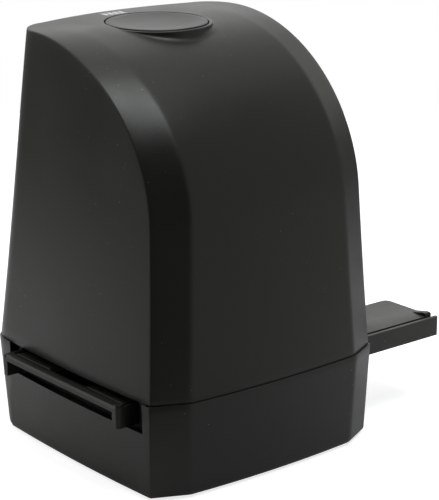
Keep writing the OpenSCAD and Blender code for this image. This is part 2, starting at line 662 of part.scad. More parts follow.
// The chips take the room that the connectors and the screws leave them
chip_edge = 2;
chip_gap = 1.65;
screw_room = 5;
controller_l = lead_y - plug_rim - chip_gap - main_y0 - chip_edge;
memory_l = (main_hx - screw_room - back_lead_x - lead_w / 2 - plug_rim) * 2 / 3;
// A connector whose mouth takes a flat lead: upright on the boards below, lying on the others
module lead_mouth(x, y0, y1, z0, z1)
  block(x - lead_w / 2 - lead_play, x + lead_w / 2 + lead_play, y0, y1, z0, z1);
module upright_plug(x, z) difference() {
  block(x - lead_w / 2 - plug_rim, x + lead_w / 2 + plug_rim, lead_y - plug_rim, lead_y + plug_rim,
    z, z + plug_h);
  lead_mouth(x, lead_y - lead_t / 2 - lead_play, lead_y + lead_t / 2 + lead_play, z + 1, z + plug_h + 1);
}
module flat_plug(x, y, z, s) difference() {
  block(x - lead_w / 2 - plug_rim, x + lead_w / 2 + plug_rim, y - 2, y + 2, z, z + flat_plug_h);
  lead_mouth(x, s > 0 ? y - 1 : y - 3, s > 0 ? y + 3 : y + 1, z + flat_plug_h / 2 - lead_t / 2 - lead_play,
    z + flat_plug_h / 2 + lead_t / 2 + lead_play);
}
back_plug_y = [film_y + led_board_hy - 5.4, main_y0 + 3];
sensor_plug_y = film_y + tower_top[1] + 2.4;
switch_plug_y = cap_y + 10;
plug_reach = 0.9;
module board_connectors() color("#dcd8c6") placed() {
  upright_plug(sensor_lead_x, board_z1);
  upright_plug(switch_lead_x, board_z1);
  flat_plug(back_lead_x, back_plug_y[0], board_z1, 1);
  flat_plug(back_lead_x, back_plug_y[1], board_z1, -1);
  flat_plug(sensor_lead_x, sensor_plug_y, sensor_z + board_t, 1);
  flat_plug(switch_lead_x, switch_plug_y, switch_board_z0 - flat_plug_h, 1);
}
module usb_socket() color("#c9cbce") placed() difference() {
  block(-usb_w / 2, usb_w / 2, usb_y1 - usb_l, usb_y1, usb_z0, usb_z0 + usb_h);
  block(-usb_w / 2 + usb_wall, usb_w / 2 - usb_wall, usb_y1 - usb_l + 1, usb_y1 + 1,
    usb_z0 + usb_wall, usb_z0 + usb_h - usb_wall);
}
module usb_contacts() color("#1a1a1a") placed() difference() {
  block(-usb_w / 3, usb_w / 3, usb_y1 - usb_l + 1, usb_y1 - 1.2, usb_z0 + 1.6, usb_z0 + 2.5);
  for (i = [-2 : 2])
    block(i * 0.8 - 0.15, i * 0.8 + 0.15, usb_y1 - usb_l, usb_y1, usb_z0 + 1, usb_z0 + 1.7);
}

// A flat lead that leaves a board level, turns down behind the optics and ends upright
function lead_path(y0, z0, z1, off) = concat(
  [[y0, z0 + off]],
  [for (i = [0 : 6]) let (a = 90 - 15 * i)
    [lead_y - lead_bend + (lead_bend + off) * cos(a), z0 - lead_bend + (lead_bend + off) * sin(a)]],
  [[lead_y + off, z1]]);
module down_lead(x, y0, z0, z1) {
  translate([x - lead_w / 2, 0, 0]) rotate([90, 0, 90]) linear_extrude(height = lead_w)
    polygon(concat(lead_path(y0, z0, z1, lead_t / 2), reverse(lead_path(y0, z0, z1, -lead_t / 2))));
}
module sensor_ribbon() color("#c9c2a8") placed()
  down_lead(sensor_lead_x, sensor_plug_y - plug_reach, sensor_z + board_t + flat_plug_h / 2, board_z1 + 1.1);
module backlight_ribbon() color("#c9c2a8") placed()
  block(back_lead_x - lead_w / 2, back_lead_x + lead_w / 2, back_plug_y[0] - plug_reach,
    back_plug_y[1] + plug_reach, board_z1 + (flat_plug_h - lead_t) / 2, board_z1 + (flat_plug_h + lead_t) / 2);
module switch_ribbon() color("#c9c2a8") placed()
  down_lead(switch_lead_x, switch_plug_y - plug_reach, switch_board_z0 - flat_plug_h / 2, board_z1 + 1.1);

// ---- Scan button ----
module button_guide() color("#2b2b29") placed() difference() {
  union() {
    rod(0, cap_y, guide_z1 - guide_t, guide_z1, 2 * guide_r);
    rod(0, cap_y, guide_z1 - guide_t - guide_tube, guide_z1, stem_d + 4);
    at_each(cradle_at) rod(0, 0, switch_board_z1 + stack_gap, guide_z1 - 1, boss_d);
  }
  rod(0, cap_y, guide_z1 - 20, guide_z1 + 1, stem_d + 2 * run_fit);
  at_each(guide_screws_at) rod(0, 0, guide_z1 - guide_t - 1, guide_z1 + 1, small_hole_d);
  at_each(cradle_at) rod(0, 0, switch_board_z1 - 1, switch_board_z1 + small_grip + 1, small_pilot_d);
  for (a = [40, 140, 270])
    rod(hole_ring_r * cos(a), cap_y + hole_ring_r * sin(a), guide_z1 - guide_t - 1, guide_z1 + 1, 9);
}
module guide_screws() color("#8d8f92") placed()
  at_each(guide_screws_at) small_screw(guide_t + small_grip, guide_z1 - guide_t - eps, up = true);

dish_r = (pow(cap_d / 2 - 1.4, 2) + dish * dish) / (2 * dish);
module scan_button() color("#2d2d2b") placed() translate([0, cap_y, 0]) {
  difference() {
    union() {
      difference() {
        rod(0, 0, cap_z1 - cap_skirt, cap_z1, cap_d);
        rod(0, 0, cap_z1 - cap_skirt - 1, cap_under, cap_d - 3.2);
        translate([0, 0, cap_z1 - dish + dish_r]) sphere(r = dish_r, $fn = 96);
      }
      rod(0, 0, stem_z0, cap_under + 1, stem_d);
    }
    difference() {
      rod(0, 0, clip_z0, clip_z0 + clip_t + 2 * 0.05, stem_d + 1);
      rod(0, 0, clip_z0 - 1, clip_z0 + clip_t + 1, clip_groove_d);
    }
  }
}
clip_z0 = guide_z1 - guide_t - guide_tube - clip_t - 0.1 - stack_gap;
module stem_clip() color("#a8abae") placed() difference() {
  rod(0, cap_y, clip_z0 + 0.05, clip_z0 + 0.05 + clip_t, stem_d + 3);
  rod(0, cap_y, clip_z0 - 1, clip_z0 + clip_t + 1, clip_groove_d + 2 * shank_fit);
  block(-2.4, 2.4, cap_y - stem_d, cap_y, clip_z0 - 1, clip_z0 + clip_t + 1);
}

// Coil spring: a round wire swept along a helix, its ends flattened on the last turn
coil_d = 11;
wire_d = 0.8;
coil_turns = 4;
coil_steps = 16;
coil_sides = 8;
function coil_z(u) = let (t = clamp01((u * coil_turns - 0.7) / (coil_turns - 1.4)))
  spring_z0 + wire_d / 2 + (spring_z1 - spring_z0 - wire_d) * (0.06 * u + 0.94 * t);
coil_rings = [for (k = [0 : coil_turns * coil_steps])
  let (u = k / (coil_turns * coil_steps), a = 360 * coil_turns * u)
  [for (j = [0 : coil_sides - 1]) let (b = -360 * j / coil_sides, r = coil_d / 2 + wire_d / 2 * cos(b))
    [r * cos(a), cap_y + r * sin(a), coil_z(u) + wire_d / 2 * sin(b)]]];
module button_spring() color("#b9bbbe") placed() loft(coil_rings);

module switch_board() color("#1f5a3a") placed() difference() {
  slab(-13, 13, cap_y - 7, cap_y + 13, switch_board_z0, switch_board_z1, [1, 1, 1, 1]);
  at_each(cradle_at) rod(0, 0, switch_board_z0 - 1, switch_board_z1 + 1, small_hole_d);
}
module switch_board_screws() color("#8d8f92") placed()
  at_each(cradle_at)
    small_screw(board_t + small_grip, switch_board_z0 - eps, up = true);
module tactile_switch() color("#303234") placed() difference() {
  block(-3, 3, cap_y - 3, cap_y + 3, switch_board_z1, switch_z1);
  rod(0, cap_y, switch_z1 - 1.6, switch_z1 + 1, plunger_d + 0.1);
}
module switch_plunger() color("#1a1a1a") placed()
  rod(0, cap_y, switch_z1 - 0.8, plunger_z1, plunger_d);

// ---- Film holder ----
web_z1 = film_z;
rim_gap = 1.3;          // the groove between a rail and the cover
cover_y0 = holder_y0 + rim_w + rim_gap;
cover_y1 = holder_y1 - rim_w - rim_gap;
crossbar_w = 4.4;
crossbar_x1 = -holder_left + crossbar_w;
tongue_end = holder_right - 1.2;
tongue_r = 3;
hinge_x = crossbar_x1 + 3;
hinge_z = cover_z0 - 1.3;
pin_d = 1.6;
pin_fit = 0.04;
pin_hole_l = 4;
ear_w = 2.2;
ledge_z1 = cover_z0 - stack_gap;
end_t = 1.4;
nub_w = 3.2;
nub_l = 8;
nub_top = 1.8;          // length of its flat top, where its ramp ends
bar_round = 1.2;        // on the crossbar's outer top edge
leg_l = 4.8;            // end of the near rail that stands full
leg_recess = 0.6;
recess_l = 12;
// A length along Y whose section, a list of [x, z], is closed
module along_y(y0, y1, section)
  translate([0, y1, 0]) rotate([90, 0, 0]) linear_extrude(height = y1 - y0) polygon(section);
// A length along X whose section is a list of [y, z]
module along_x(x0, x1, section)
  translate([x0, 0, 0]) rotate([90, 0, 90]) linear_extrude(height = x1 - x0) polygon(section);
module film_holder_frame() color("#30302e") placed() difference() {
  union() {
    // Rails: a full-height rim with a lower ledge that carries the cover
    slab(-holder_left, holder_right, holder_y0, holder_y0 + rim_w, holder_z0, holder_z1,
      [rim_w - 0.1, 0.45 * rim_w, 0.45 * rim_w, 0]);
    slab(-holder_left, holder_step, holder_y1 - rim_w, holder_y1, holder_z0, holder_z1,
      [0, 0, 0.45 * rim_w, rim_w - 0.1]);
    block(-holder_left, holder_right - 2, holder_y0 + 1, holder_y0 + rail_w, holder_z0, ledge_z1);
    block(-holder_left, holder_step, holder_y1 - rail_w, holder_y1 - 1, holder_z0, ledge_z1);
    along_y(holder_y0 + 1, holder_y1 - 1, concat(
      [[-holder_left, cover_z0], [crossbar_x1, cover_z0], [crossbar_x1, holder_z1]],
      corner(-holder_left + bar_round, holder_z1 - bar_round, bar_round, 90)));
    // Web with the picture windows, and the handle's floor and edges
    block(-holder_left + 3, holder_step - 1, holder_y0 + 2, holder_y1 - 2, web_z1 - web_t, web_z1);
    block(holder_step - end_t, holder_step, handle_y1 - 3, holder_y1 - 1, holder_z0, ledge_z1);
    slab(holder_step - 2, tongue_end, holder_y0 + 1, handle_y1, ledge_z1 - web_t, ledge_z1,
      [0, 0, tongue_r, 0]);
    block(holder_step - 2, tongue_end - tongue_r, handle_y1 - end_t, handle_y1, holder_z0, ledge_z1);
    block(tongue_end - end_t, tongue_end, holder_y0 + 1, handle_y1 - tongue_r, holder_z0, ledge_z1);
    translate([tongue_end - tongue_r, handle_y1 - tongue_r, holder_z0]) difference() {
      cylinder(r = tongue_r - 0.1, h = ledge_z1 - holder_z0);
      translate([0, 0, -1]) cylinder(r = tongue_r - end_t, h = holder_h);
      translate([-2 * tongue_r, -tongue_r, -1]) cube([2 * tongue_r, 2 * tongue_r, holder_h]);
      translate([-tongue_r, -2 * tongue_r, -1]) cube([2 * tongue_r, 2 * tongue_r, holder_h]);
    }
    rod(-holder_left + 2.2, holder_y0 + 2.2, holder_z0, holder_z1 + 0.7, 3.2);
  }
  windows(holder_z0 - 1, holder_z1 + 1);
  block(-holder_left + leg_l, -holder_left + leg_l + recess_l, holder_y0 - 1, holder_y0 + leg_recess,
    holder_z0 - 1, holder_z1 + 1);
  block(-holder_left + crossbar_w + 0.6, holder_step - 4, film_y - film_w / 2 - 0.1,
    film_y + film_w / 2 + 0.1, web_z1 - 0.3, cover_z0);
  // Room for the hinge ears, the pin bores and the notches that the detent spring meets
  for (s = [-1, 1]) let (ye = s < 0 ? cover_y0 - 0.3 : cover_y1 - ear_w - 0.5)
    block(hinge_x - 2.6, hinge_x + 2.6, ye, ye + ear_w + 0.8, holder_z0 - 1, holder_z1 - cover_t);
  for (s = [-1, 1]) translate([hinge_x, s < 0 ? holder_y0 + 1 : holder_y1 - 1 - pin_hole_l, hinge_z])
    rotate([-90, 0, 0]) cylinder(d = pin_d + 2 * pin_fit, h = pin_hole_l);
  for (x = window_xs) translate([x, holder_y1 - rail_w - 1, holder_z0 - 0.4]) rotate([-90, 0, 0])
    cylinder(r = 1.5, h = rail_w - 0.4);
}
module film_holder_cover() color("#34342f") placed() difference() {
  union() {
    slab(crossbar_x1 + 0.3, holder_step, cover_y0, cover_y1, cover_z0, holder_z1, [0, 0, 1, 0]);
    slab(holder_step - 2, tongue_end, cover_y0, handle_y1, cover_z0, holder_z1, [0, 0.6, tongue_r, 0]);
    along_x(tongue_end - nub_w, tongue_end, [[cover_y0, cover_z0], [cover_y0 + nub_l, cover_z0],
      [cover_y0 + nub_l, holder_z1], [cover_y0 + nub_top + 0.5, holder_z1 + nub_h],
      [cover_y0 + 0.5, holder_z1 + nub_h], [cover_y0, holder_z1 + nub_h - 0.5]]);
    for (s = [-1, 1]) let (ye = s < 0 ? cover_y0 : cover_y1 - ear_w) {
      block(hinge_x - 2, hinge_x + 2, ye, ye + ear_w, hinge_z, holder_z1 - 0.5);
      translate([hinge_x, ye, hinge_z]) rotate([-90, 0, 0]) cylinder(r = 2, h = ear_w);
    }
  }
  windows(cover_z0 - 1, holder_z1 + 1);
  for (s = [-1, 1]) let (ye = s < 0 ? cover_y0 - 1 : cover_y1 - ear_w - 1)
    translate([hinge_x, ye, hinge_z]) rotate([-90, 0, 0]) cylinder(d = pin_d + 2 * pin_fit, h = ear_w + 2);
}
module holder_hinge_pins() color("#a8abae") placed()
  for (s = [-1, 1]) translate([hinge_x, s < 0 ? holder_y0 + 1.2 : cover_y1 - ear_w, hinge_z])
    rotate([-90, 0, 0]) cylinder(d = pin_d, h = rim_w + rim_gap + ear_w - 1.2);

upper_housing();
lower_housing();
rubber_feet();
housing_screws();
film_stage();
stage_screws();
detent_spring();
film_gate();
gate_screws();
light_box();
diffuser();
backlight_board();
backlight_leds();
optics_tower();
tower_screws();
lens_holder();
lens_holder_screws();
lens_barrel();
lens_elements();
lens_spacers();
ir_filter();
image_sensor();
sensor_board();
sensor_board_screws();
main_board();
controller_chip();
memory_chip();
board_connectors();
main_board_screws();
usb_socket();
usb_contacts();
sensor_ribbon();
backlight_ribbon();
switch_ribbon();
button_guide();
guide_screws();
button_spring();
scan_button();
stem_clip();
switch_board();
switch_board_screws();
tactile_switch();
switch_plunger();
film_holder_frame();
film_holder_cover();
holder_hinge_pins();
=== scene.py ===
import json
import math

import bmesh
import bpy
import numpy as np
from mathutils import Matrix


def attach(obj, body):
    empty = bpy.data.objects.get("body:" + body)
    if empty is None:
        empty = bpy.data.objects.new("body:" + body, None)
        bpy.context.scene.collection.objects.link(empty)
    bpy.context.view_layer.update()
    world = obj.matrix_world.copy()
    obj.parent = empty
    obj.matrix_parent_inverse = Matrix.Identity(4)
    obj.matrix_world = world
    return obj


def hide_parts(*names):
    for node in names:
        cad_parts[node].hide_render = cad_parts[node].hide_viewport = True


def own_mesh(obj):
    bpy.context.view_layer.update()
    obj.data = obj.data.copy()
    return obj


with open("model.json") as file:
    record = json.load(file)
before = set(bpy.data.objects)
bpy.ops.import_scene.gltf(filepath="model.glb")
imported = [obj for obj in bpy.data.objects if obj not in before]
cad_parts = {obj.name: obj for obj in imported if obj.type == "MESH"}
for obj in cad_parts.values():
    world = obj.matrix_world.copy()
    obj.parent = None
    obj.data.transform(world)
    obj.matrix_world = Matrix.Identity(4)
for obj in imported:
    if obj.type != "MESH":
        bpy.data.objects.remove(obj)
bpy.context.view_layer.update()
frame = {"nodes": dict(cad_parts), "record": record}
scene = bpy.context.scene
middleX = -21.6  # the housing's middle in the shared frame, mm

# the camera: millimetres and degrees, its far end in metres
cameraSettings = {"target": (-22.095, -25.126, 79.994), "distance": 735.4, "turn": -39.343, "rise": 16.864,
                  "lens": 140.16, "filmWidth": 36, "farEnd": 20}


def placeCamera(s):
    turn, rise = math.radians(s["turn"]), math.radians(s["rise"])
    away = (math.sin(turn) * math.cos(rise), -math.cos(turn) * math.cos(rise), math.sin(rise))
    data = bpy.data.cameras.new("camera")
    data.lens, data.sensor_width, data.clip_end = s["lens"], s["filmWidth"], s["farEnd"]
    camera = bpy.data.objects.new("camera", data)
    camera.location = [(t + s["distance"] * a) / 1000 for t, a in zip(s["target"], away)]
    camera.rotation_euler = (math.pi / 2 - rise, 0, turn)
    scene.collection.objects.link(camera)
    scene.camera = camera


placeCamera(cameraSettings)
print("camera placed")


# materials
class Link:
    # one socket in a material, so that sums on it read as plain maths
    def __init__(self, finish, socket):
        self.finish, self.socket = finish, socket

    def sum(self, operation, *values):
        return self.finish.add("ShaderNodeMath", {"operation": operation}, dict(enumerate(values)))

    def __add__(self, other):
        return self.sum("ADD", self, other)

    def __sub__(self, other):
        return self.sum("SUBTRACT", self, other)

    def __rsub__(self, other):
        return self.sum("SUBTRACT", other, self)

    def __mul__(self, other):
        return self.sum("MULTIPLY", self, other)

    def __truediv__(self, other):
        return self.sum("DIVIDE", self, other)

    def __lt__(self, other):
        return self.sum("LESS_THAN", self, other)

    def __gt__(self, other):
        return self.sum("GREATER_THAN", self, other)

    def __mod__(self, other):
        return self.sum("FLOORED_MODULO", self, other)

    def __abs__(self):
        return self.sum("ABSOLUTE", self)

    __radd__, __rmul__ = __add__, __mul__


class Finish:
    def __init__(self, name, **fixed):
        self.material = bpy.data.materials.new(name)
        self.material.use_nodes = True
        self.tree = self.material.node_tree
        self.shader = self.tree.nodes["Principled BSDF"]
        for key, value in fixed.items():
            self.shader.inputs[key.replace("_", " ")].default_value = value
        self.here = self.add("ShaderNodeTexCoord", output="Object")

    def add(self, kind, settings=None, values=None, output=0):
        node = self.tree.nodes.new(kind)
        for key, value in (settings or {}).items():
            setattr(node, key, value)
        for key, value in (values or {}).items():
            if isinstance(value, Link):
                self.tree.links.new(value.socket, node.inputs[key])
            else:
                node.inputs[key].default_value = value
        return Link(self, node.outputs[output])

    def ray(self, kind):
        return self.add("ShaderNodeLightPath", output=kind)

    def noise(self, scale, detail=2.0, roughness=0.5, at=None):
        return self.add("ShaderNodeTexNoise", None, {"Vector": at or self.here, "Scale": scale, "Detail": detail,
                                                     "Roughness": roughness})

    def stretch(self, x, y, z):
        return self.add("ShaderNodeMapping", None, {"Vector": self.here, "Scale": (x, y, z)})

    def axes(self):
        parts = self.add("ShaderNodeSeparateXYZ", None, {0: self.here}).socket.node
        return [Link(self, out) for out in parts.outputs]

    def ramp(self, value, low, high, to=(0.0, 1.0)):
        return self.add("ShaderNodeMapRange", {"interpolation_type": "SMOOTHSTEP"},
                        {"Value": value, "From Min": low, "From Max": high, "To Min": to[0], "To Max": to[1]})

    def blend(self, factor, first, second):
        colours = [c if isinstance(c, Link) else (*c, 1.0) for c in (first, second)]
        return self.add("ShaderNodeMix", {"data_type": "RGBA"}, {"Factor": factor, 6: colours[0], 7: colours[1]},
                        output=2)

    def feed(self, **inputs):
        for key, value in inputs.items():
            self.tree.links.new(value.socket, self.shader.inputs[key.replace("_", " ")])
        return self

    def relief(self, height, distance, strength=1.0):
        return self.feed(Normal=self.add("ShaderNodeBump", None, {"Height": height, "Distance": distance,
                                                                  "Strength": strength}))


satin = {"tint": (1.0, 0.99, 0.92, 1.0), "cloudScale": 38, "cloudLift": 1.12, "pebbleScale": 2600, "pebbleLift": 1.35,
         "dustScale": 300.0, "dustSizeScale": 160, "dustPatchScale": 23, "dustCover": 0.6,
         "dustColour": (0.3, 0.3, 0.29), "markColour": (0.92, 0.92, 0.90)}


def satinPlastic(name, colour, roughness, grain, dust=0.0, shine=0.47, mark=None, s=satin):
    finish = Finish(name, Specular_IOR_Level=shine, Specular_Tint=s["tint"])
    cloud = finish.noise(s["cloudScale"], 3)
    pebble = finish.noise(s["pebbleScale"], 3, 0.6)
    tone = finish.blend(finish.ramp(cloud, 0.3, 0.7), colour, [c * s["cloudLift"] for c in colour])
    tone = finish.blend(finish.ramp(pebble, 0.35, 0.75), tone, [c * s["pebbleLift"] for c in colour])
    if dust:
        spots = finish.add("ShaderNodeTexVoronoi", {"feature": "F1"}, {"Vector": finish.here,
                                                                      "Scale": s["dustScale"]})
        patches = finish.ramp(finish.noise(s["dustPatchScale"], 2), 0.52, 0.6)
        speck = (spots < finish.noise(s["dustSizeScale"], 1) * dust) * patches
        tone = finish.blend(speck * s["dustCover"], tone, s["dustColour"])
    if mark:
        tone = finish.blend(filmMark(finish, **mark), tone, s["markColour"])
    finish.feed(Base_Color=tone, Roughness=finish.ramp(cloud, 0.2, 0.8, (roughness - 0.04, roughness + 0.05)))
    return finish.relief(pebble, grain)


def filmMark(finish, x, y, z, length, width, pitch):
    # a printed strip of film: a row of pictures between two rows of holes
    px, py, pz = finish.axes()
    along, across = px - x, abs(py - y)
    strip = (abs(along) < length / 2) * (pz > z)
    picture = (abs(along % pitch - pitch / 2) < pitch * 0.36) * (across < width * 0.32)
    hole = (abs(along % (pitch / 3) - pitch / 6) < pitch * 0.1) * (abs(across - width * 0.44) < width * 0.06)
    return strip * (picture + hole)


def plainFinish(name, colour, roughness, metallic=0.0, scale=900, spread=0.15, height=0.00002, **fixed):
    finish = Finish(name, Metallic=metallic, **fixed)
    grain = finish.noise(scale, 3)
    lighter = [min(1.0, c * (1 + spread)) for c in colour]
    finish.feed(Base_Color=finish.blend(finish.ramp(grain, 0.3, 0.7), colour, lighter),
                Roughness=finish.ramp(grain, 0.2, 0.8, (roughness - 0.05, roughness + 0.06)))
    return finish.relief(grain, height)


def brushedMetal(name, colour, roughness):
    finish = Finish(name, Metallic=1.0)
    lines = finish.noise(900, 3, at=finish.stretch(1, 1, 0.04))
    finish.feed(Base_Color=finish.blend(lines, colour, [c * 0.8 for c in colour]),
                Roughness=finish.ramp(lines, 0.2, 0.8, (roughness - 0.08, roughness + 0.1)))
    return finish.relief(lines, 0.00001)


def circuitBoard(name, mask, track):
    finish = Finish(name, Roughness=0.35, Coat_Weight=0.3, Coat_Roughness=0.15)
    px, py = finish.axes()[:2]
    lanes = ((py % 0.0016) < 0.00045) * (finish.noise(130, 0, at=finish.stretch(0.3, 1, 1)) > 0.5)
    crossing = ((px % 0.0021) < 0.0004) * (finish.noise(90, 0, at=finish.stretch(1, 0.3, 1)) > 0.56)
    copper = lanes.sum("MAXIMUM", lanes, crossing)
    return finish.feed(Base_Color=finish.blend(copper, mask, track)).relief(copper, 0.00003)


def clearGlass(name, tint):
    finish = Finish(name, Transmission_Weight=1.0, IOR=1.52, Roughness=0.02)
    grain = finish.noise(300, 1)
    return finish.feed(Base_Color=finish.blend(grain, tint, [c * 0.97 for c in tint]))


charcoal = (0.0102, 0.0104, 0.0080)
finishes = {
    "housing_plastic": satinPlastic("housingPlastic", charcoal, 0.34, 0.000035, dust=0.11, mark={
        "x": -0.0245, "y": 0.0370, "z": 0.1615, "length": 0.0104, "width": 0.0050, "pitch": 0.0026}),
    "button_plastic": satinPlastic("buttonPlastic", charcoal, 0.34, 0.00002, dust=0.1, shine=0.31),
    "inner_plastic": satinPlastic("innerPlastic", (0.007, 0.007, 0.007), 0.6, 0.00004),
    "holder_plastic": satinPlastic("holderPlastic", (0.014, 0.0142, 0.0118), 0.38, 0.00003, dust=0.12),
    "white_plastic": plainFinish("whitePlastic", (0.78, 0.78, 0.75), 0.6, spread=0.04),
    "diffuser_plastic": plainFinish("diffuserPlastic", (0.84, 0.84, 0.82), 0.5, spread=0.03, scale=240),
    "rubber": plainFinish("rubber", (0.02, 0.02, 0.02), 0.82, scale=1500, spread=0.5, height=0.00005),
    "screw_steel": brushedMetal("screwSteel", (0.52, 0.52, 0.54), 0.34),
    "spring_steel": brushedMetal("springSteel", (0.60, 0.60, 0.62), 0.24),
    "board_green": circuitBoard("boardGreen", (0.012, 0.10, 0.045), (0.03, 0.20, 0.08)),
    "board_white": circuitBoard("boardWhite", (0.78, 0.79, 0.77), (0.70, 0.71, 0.69)),
    "led_white": plainFinish("ledWhite", (0.85, 0.80, 0.52), 0.3, spread=0.1),
    "barrel_black": brushedMetal("barrelBlack", (0.03, 0.03, 0.033), 0.4),
    "lens_glass": clearGlass("lensGlass", (0.92, 0.96, 0.98)),
    "filter_glass": clearGlass("filterGlass", (0.78, 0.94, 0.86)),
    "chip_black": plainFinish("chipBlack", (0.03, 0.03, 0.032), 0.6, scale=2500),
    "socket_steel": brushedMetal("socketSteel", (0.66, 0.66, 0.68), 0.28),
    "connector_cream": plainFinish("connectorCream", (0.74, 0.70, 0.58), 0.5, spread=0.06),
    "flat_lead": plainFinish("flatLead", (0.68, 0.64, 0.48), 0.35, scale=400, spread=0.08),
}
slotOfNode = {part["node"]: part["material_slot"] for part in frame["record"]["subparts"]}
for nodeName, cadNode in frame["nodes"].items():
    finish = finishes[slotOfNode[nodeName]].material
    for place in cadNode.material_slots:
        place.material = finish
    if not cadNode.material_slots:
        cadNode.data.materials.append(finish)
print("materials on", len(frame["nodes"]), "carried-over nodes")


# making meshes
class Skin:
    # points in millimetres in the housing's own frame, and faces between rows of them
    def __init__(self):
        self.points, self.faces = [], []

    def add(self, points):
        points = np.asarray(points, float)
        start = len(self.points)
        self.points.extend(points.reshape(-1, 3).tolist())
        return np.arange(start, len(self.points)).reshape(points.shape[:-1])

    def sheet(self, rows, keep=None, closed=False):
        rows = np.asarray(rows)
        if closed:
            rows = np.concatenate([rows, rows[:, :1]], 1)
        for r in range(rows.shape[0] - 1):
            for c in range(rows.shape[1] - 1):
                if keep is None or keep(r, c):
                    self.faces.append([rows[r, c], rows[r, c + 1], rows[r + 1, c + 1], rows[r + 1, c]])

    def fill(self, loop):
        self.faces.append(list(loop))

    def turned(self, centre, profile, sides=48):
        # a closed round part from (radius, height) pairs that start and end on the axis
        angles = np.linspace(0, 2 * math.pi, sides, endpoint=False)
        ring = np.stack([np.cos(angles), np.sin(angles)], 1)
        rows = [self.add(np.column_stack([centre[0] + r * ring[:, 0], centre[1] + r * ring[:, 1],
                                          np.full(sides, z)])) for r, z in profile[1:-1]]
        self.sheet(rows, closed=True)
        for rim, (_, z) in ((rows[0], profile[0]), (rows[-1], profile[-1])):
            tip = self.add([[centre[0], centre[1], z]])[0]
            self.faces.extend([[rim[i], rim[(i + 1) % sides], tip] for i in range(sides)])

    def mesh(self, name):
        made = bpy.data.meshes.new(name)
        spots = np.array(self.points) / 1000 + [middleX / 1000, 0, 0]
        made.from_pydata(spots.tolist(), [], [[int(v) for v in face] for face in self.faces])
        return made


def newPiece(name, mesh, slotName, body, replaced, smooth=32):
    work = bmesh.new()
    work.from_mesh(mesh)
    bmesh.ops.remove_doubles(work, verts=work.verts, dist=1e-6)
    bmesh.ops.recalc_face_normals(work, faces=work.faces)
    work.to_mesh(mesh)
    work.free()
    for face in mesh.polygons:
        face.use_smooth = True
    mesh.set_sharp_from_angle(angle=math.radians(smooth))
    piece = bpy.data.objects.new(name, mesh)
    scene.collection.objects.link(piece)
    mesh.materials.append(finishes[slotName].material)
    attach(piece, body)
    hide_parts(*replaced)
    print(name, "made,", len(mesh.polygons), "faces")
    return piece


# upper shell
shell = {"top": 162.0, "seam": 37.5, "archStart": 101.3, "archPower": 2.0, "frontY": -50.9, "sideX": 53.7,
         "cornerY": 43.9, "archEndY": 17.8165, "frontLean": 0.055, "backLean": 0.128, "sideLean": 0.0428,
         "sideBow": 0.9, "sideCrown": 1.4, "sideTaper": 0.8, "backCrown": 4.8, "cornerRadius": 10.4,
         "cornerGrow": 3.0, "facetWidth": 13.5, "facetDepth": 6.5, "frontCrown": 1.7, "softLine": 0.3, "wall": 2.2,
         "edge": 0.55, "innerEdge": 0.4, "edgeRows": 6, "rimRound": 0.08, "lowRows": 26, "archRows": 44,
         "collarRow": 32, "cornerRows": 8, "crownCells": 24, "footBack": 0.35, "probe": 0.01, "halvings": 44}
collar = {"y": 13.164, "wellRadius": 20.0, "radius": 21.3, "top": 161.6, "bottom": 153.0, "blend": 2.2,
          "rings": 6, "liftMost": 1.6, "liftShare": 0.55, "dropMost": 0.55, "dropShare": 0.4, "overlap": 0.4,
          "footRows": ((1.5, 0.04), (0.95, 0.16), (0.5, 0.36), (0.2, 0.6))}
screwPlaces = ((42.1, -46.6), (44.1, 42.4))
screwPost = ((0, 20.1), (1.55, 20.1), (1.55, 8.1), (3.5, 8.1), (3.5, 53.6), (0, 53.6))
guideBoss = ((0, 156), (1.05, 156), (1.05, 150.05), (3, 150.05), (3, 159.4), (0, 159.4))
facetOffsets = [3.2, 5.6, 8.0, 10.0, 11.4, 12.5, 13.5, 14.5, 15.7, 17.4]


def creaseY(z, inset=0.0, s=shell):
    climb = np.clip((z - s["archStart"]) / (s["top"] - s["archStart"] - inset), 0, 1)
    reach = (1 - climb ** s["archPower"]) ** (1 / s["archPower"])
    return s["archEndY"] + s["frontLean"] * (z - s["seam"]) - (s["archEndY"] - s["frontY"] - inset) * reach


def sideAt(y, z, s=shell):
    back = np.clip((y - s["frontY"]) / (s["cornerY"] - s["frontY"]), 0, 1)
    climb = np.clip((z - s["seam"]) / (s["top"] - s["seam"]), 0, 1)
    return (s["sideX"] - s["sideTaper"] * back + 4 * s["sideCrown"] * back * (1 - back)
            - s["sideLean"] * np.maximum(z - s["seam"], 0) - 4 * s["sideBow"] * climb * (1 - climb))


def frontDepth(x, creaseX, s=shell):
    # how far the front stands out before its creases: slanted strips, then a slight crown, softly joined
    strip = s["facetDepth"] * (creaseX - abs(x)) / s["facetWidth"]
    crown = s["facetDepth"] + s["frontCrown"] * (1 - (x / (creaseX - s["facetWidth"])) ** 2)
    near = np.maximum(s["softLine"] - abs(strip - crown), 0) / s["softLine"]
    return np.minimum(strip, crown) - near ** 2 * s["softLine"] / 4


def backPoint(part, z, inset, more=0.0, s=shell):
    # part 0 to 1 runs round the corner, 1 to 2 along the crowned back to its middle
    grow = s["cornerGrow"] * np.clip((z - s["seam"]) / (s["top"] - s["seam"]), 0, 1) ** 4
    y = s["cornerY"] - s["backLean"] * np.maximum(z - s["seam"], 0) - grow
    full = s["cornerRadius"] + grow + more
    x, y, radius = sideAt(y, z) - full, y - more, full - inset
    angle = np.minimum(part, 1) * math.pi / 2
    along = np.clip(2 - part, 0, 1)
    return np.stack([x * along + radius * np.cos(angle) * (part < 1),
                     y + radius * np.sin(angle) + s["backCrown"] * (1 - along ** 2), z + 0 * part], -1)


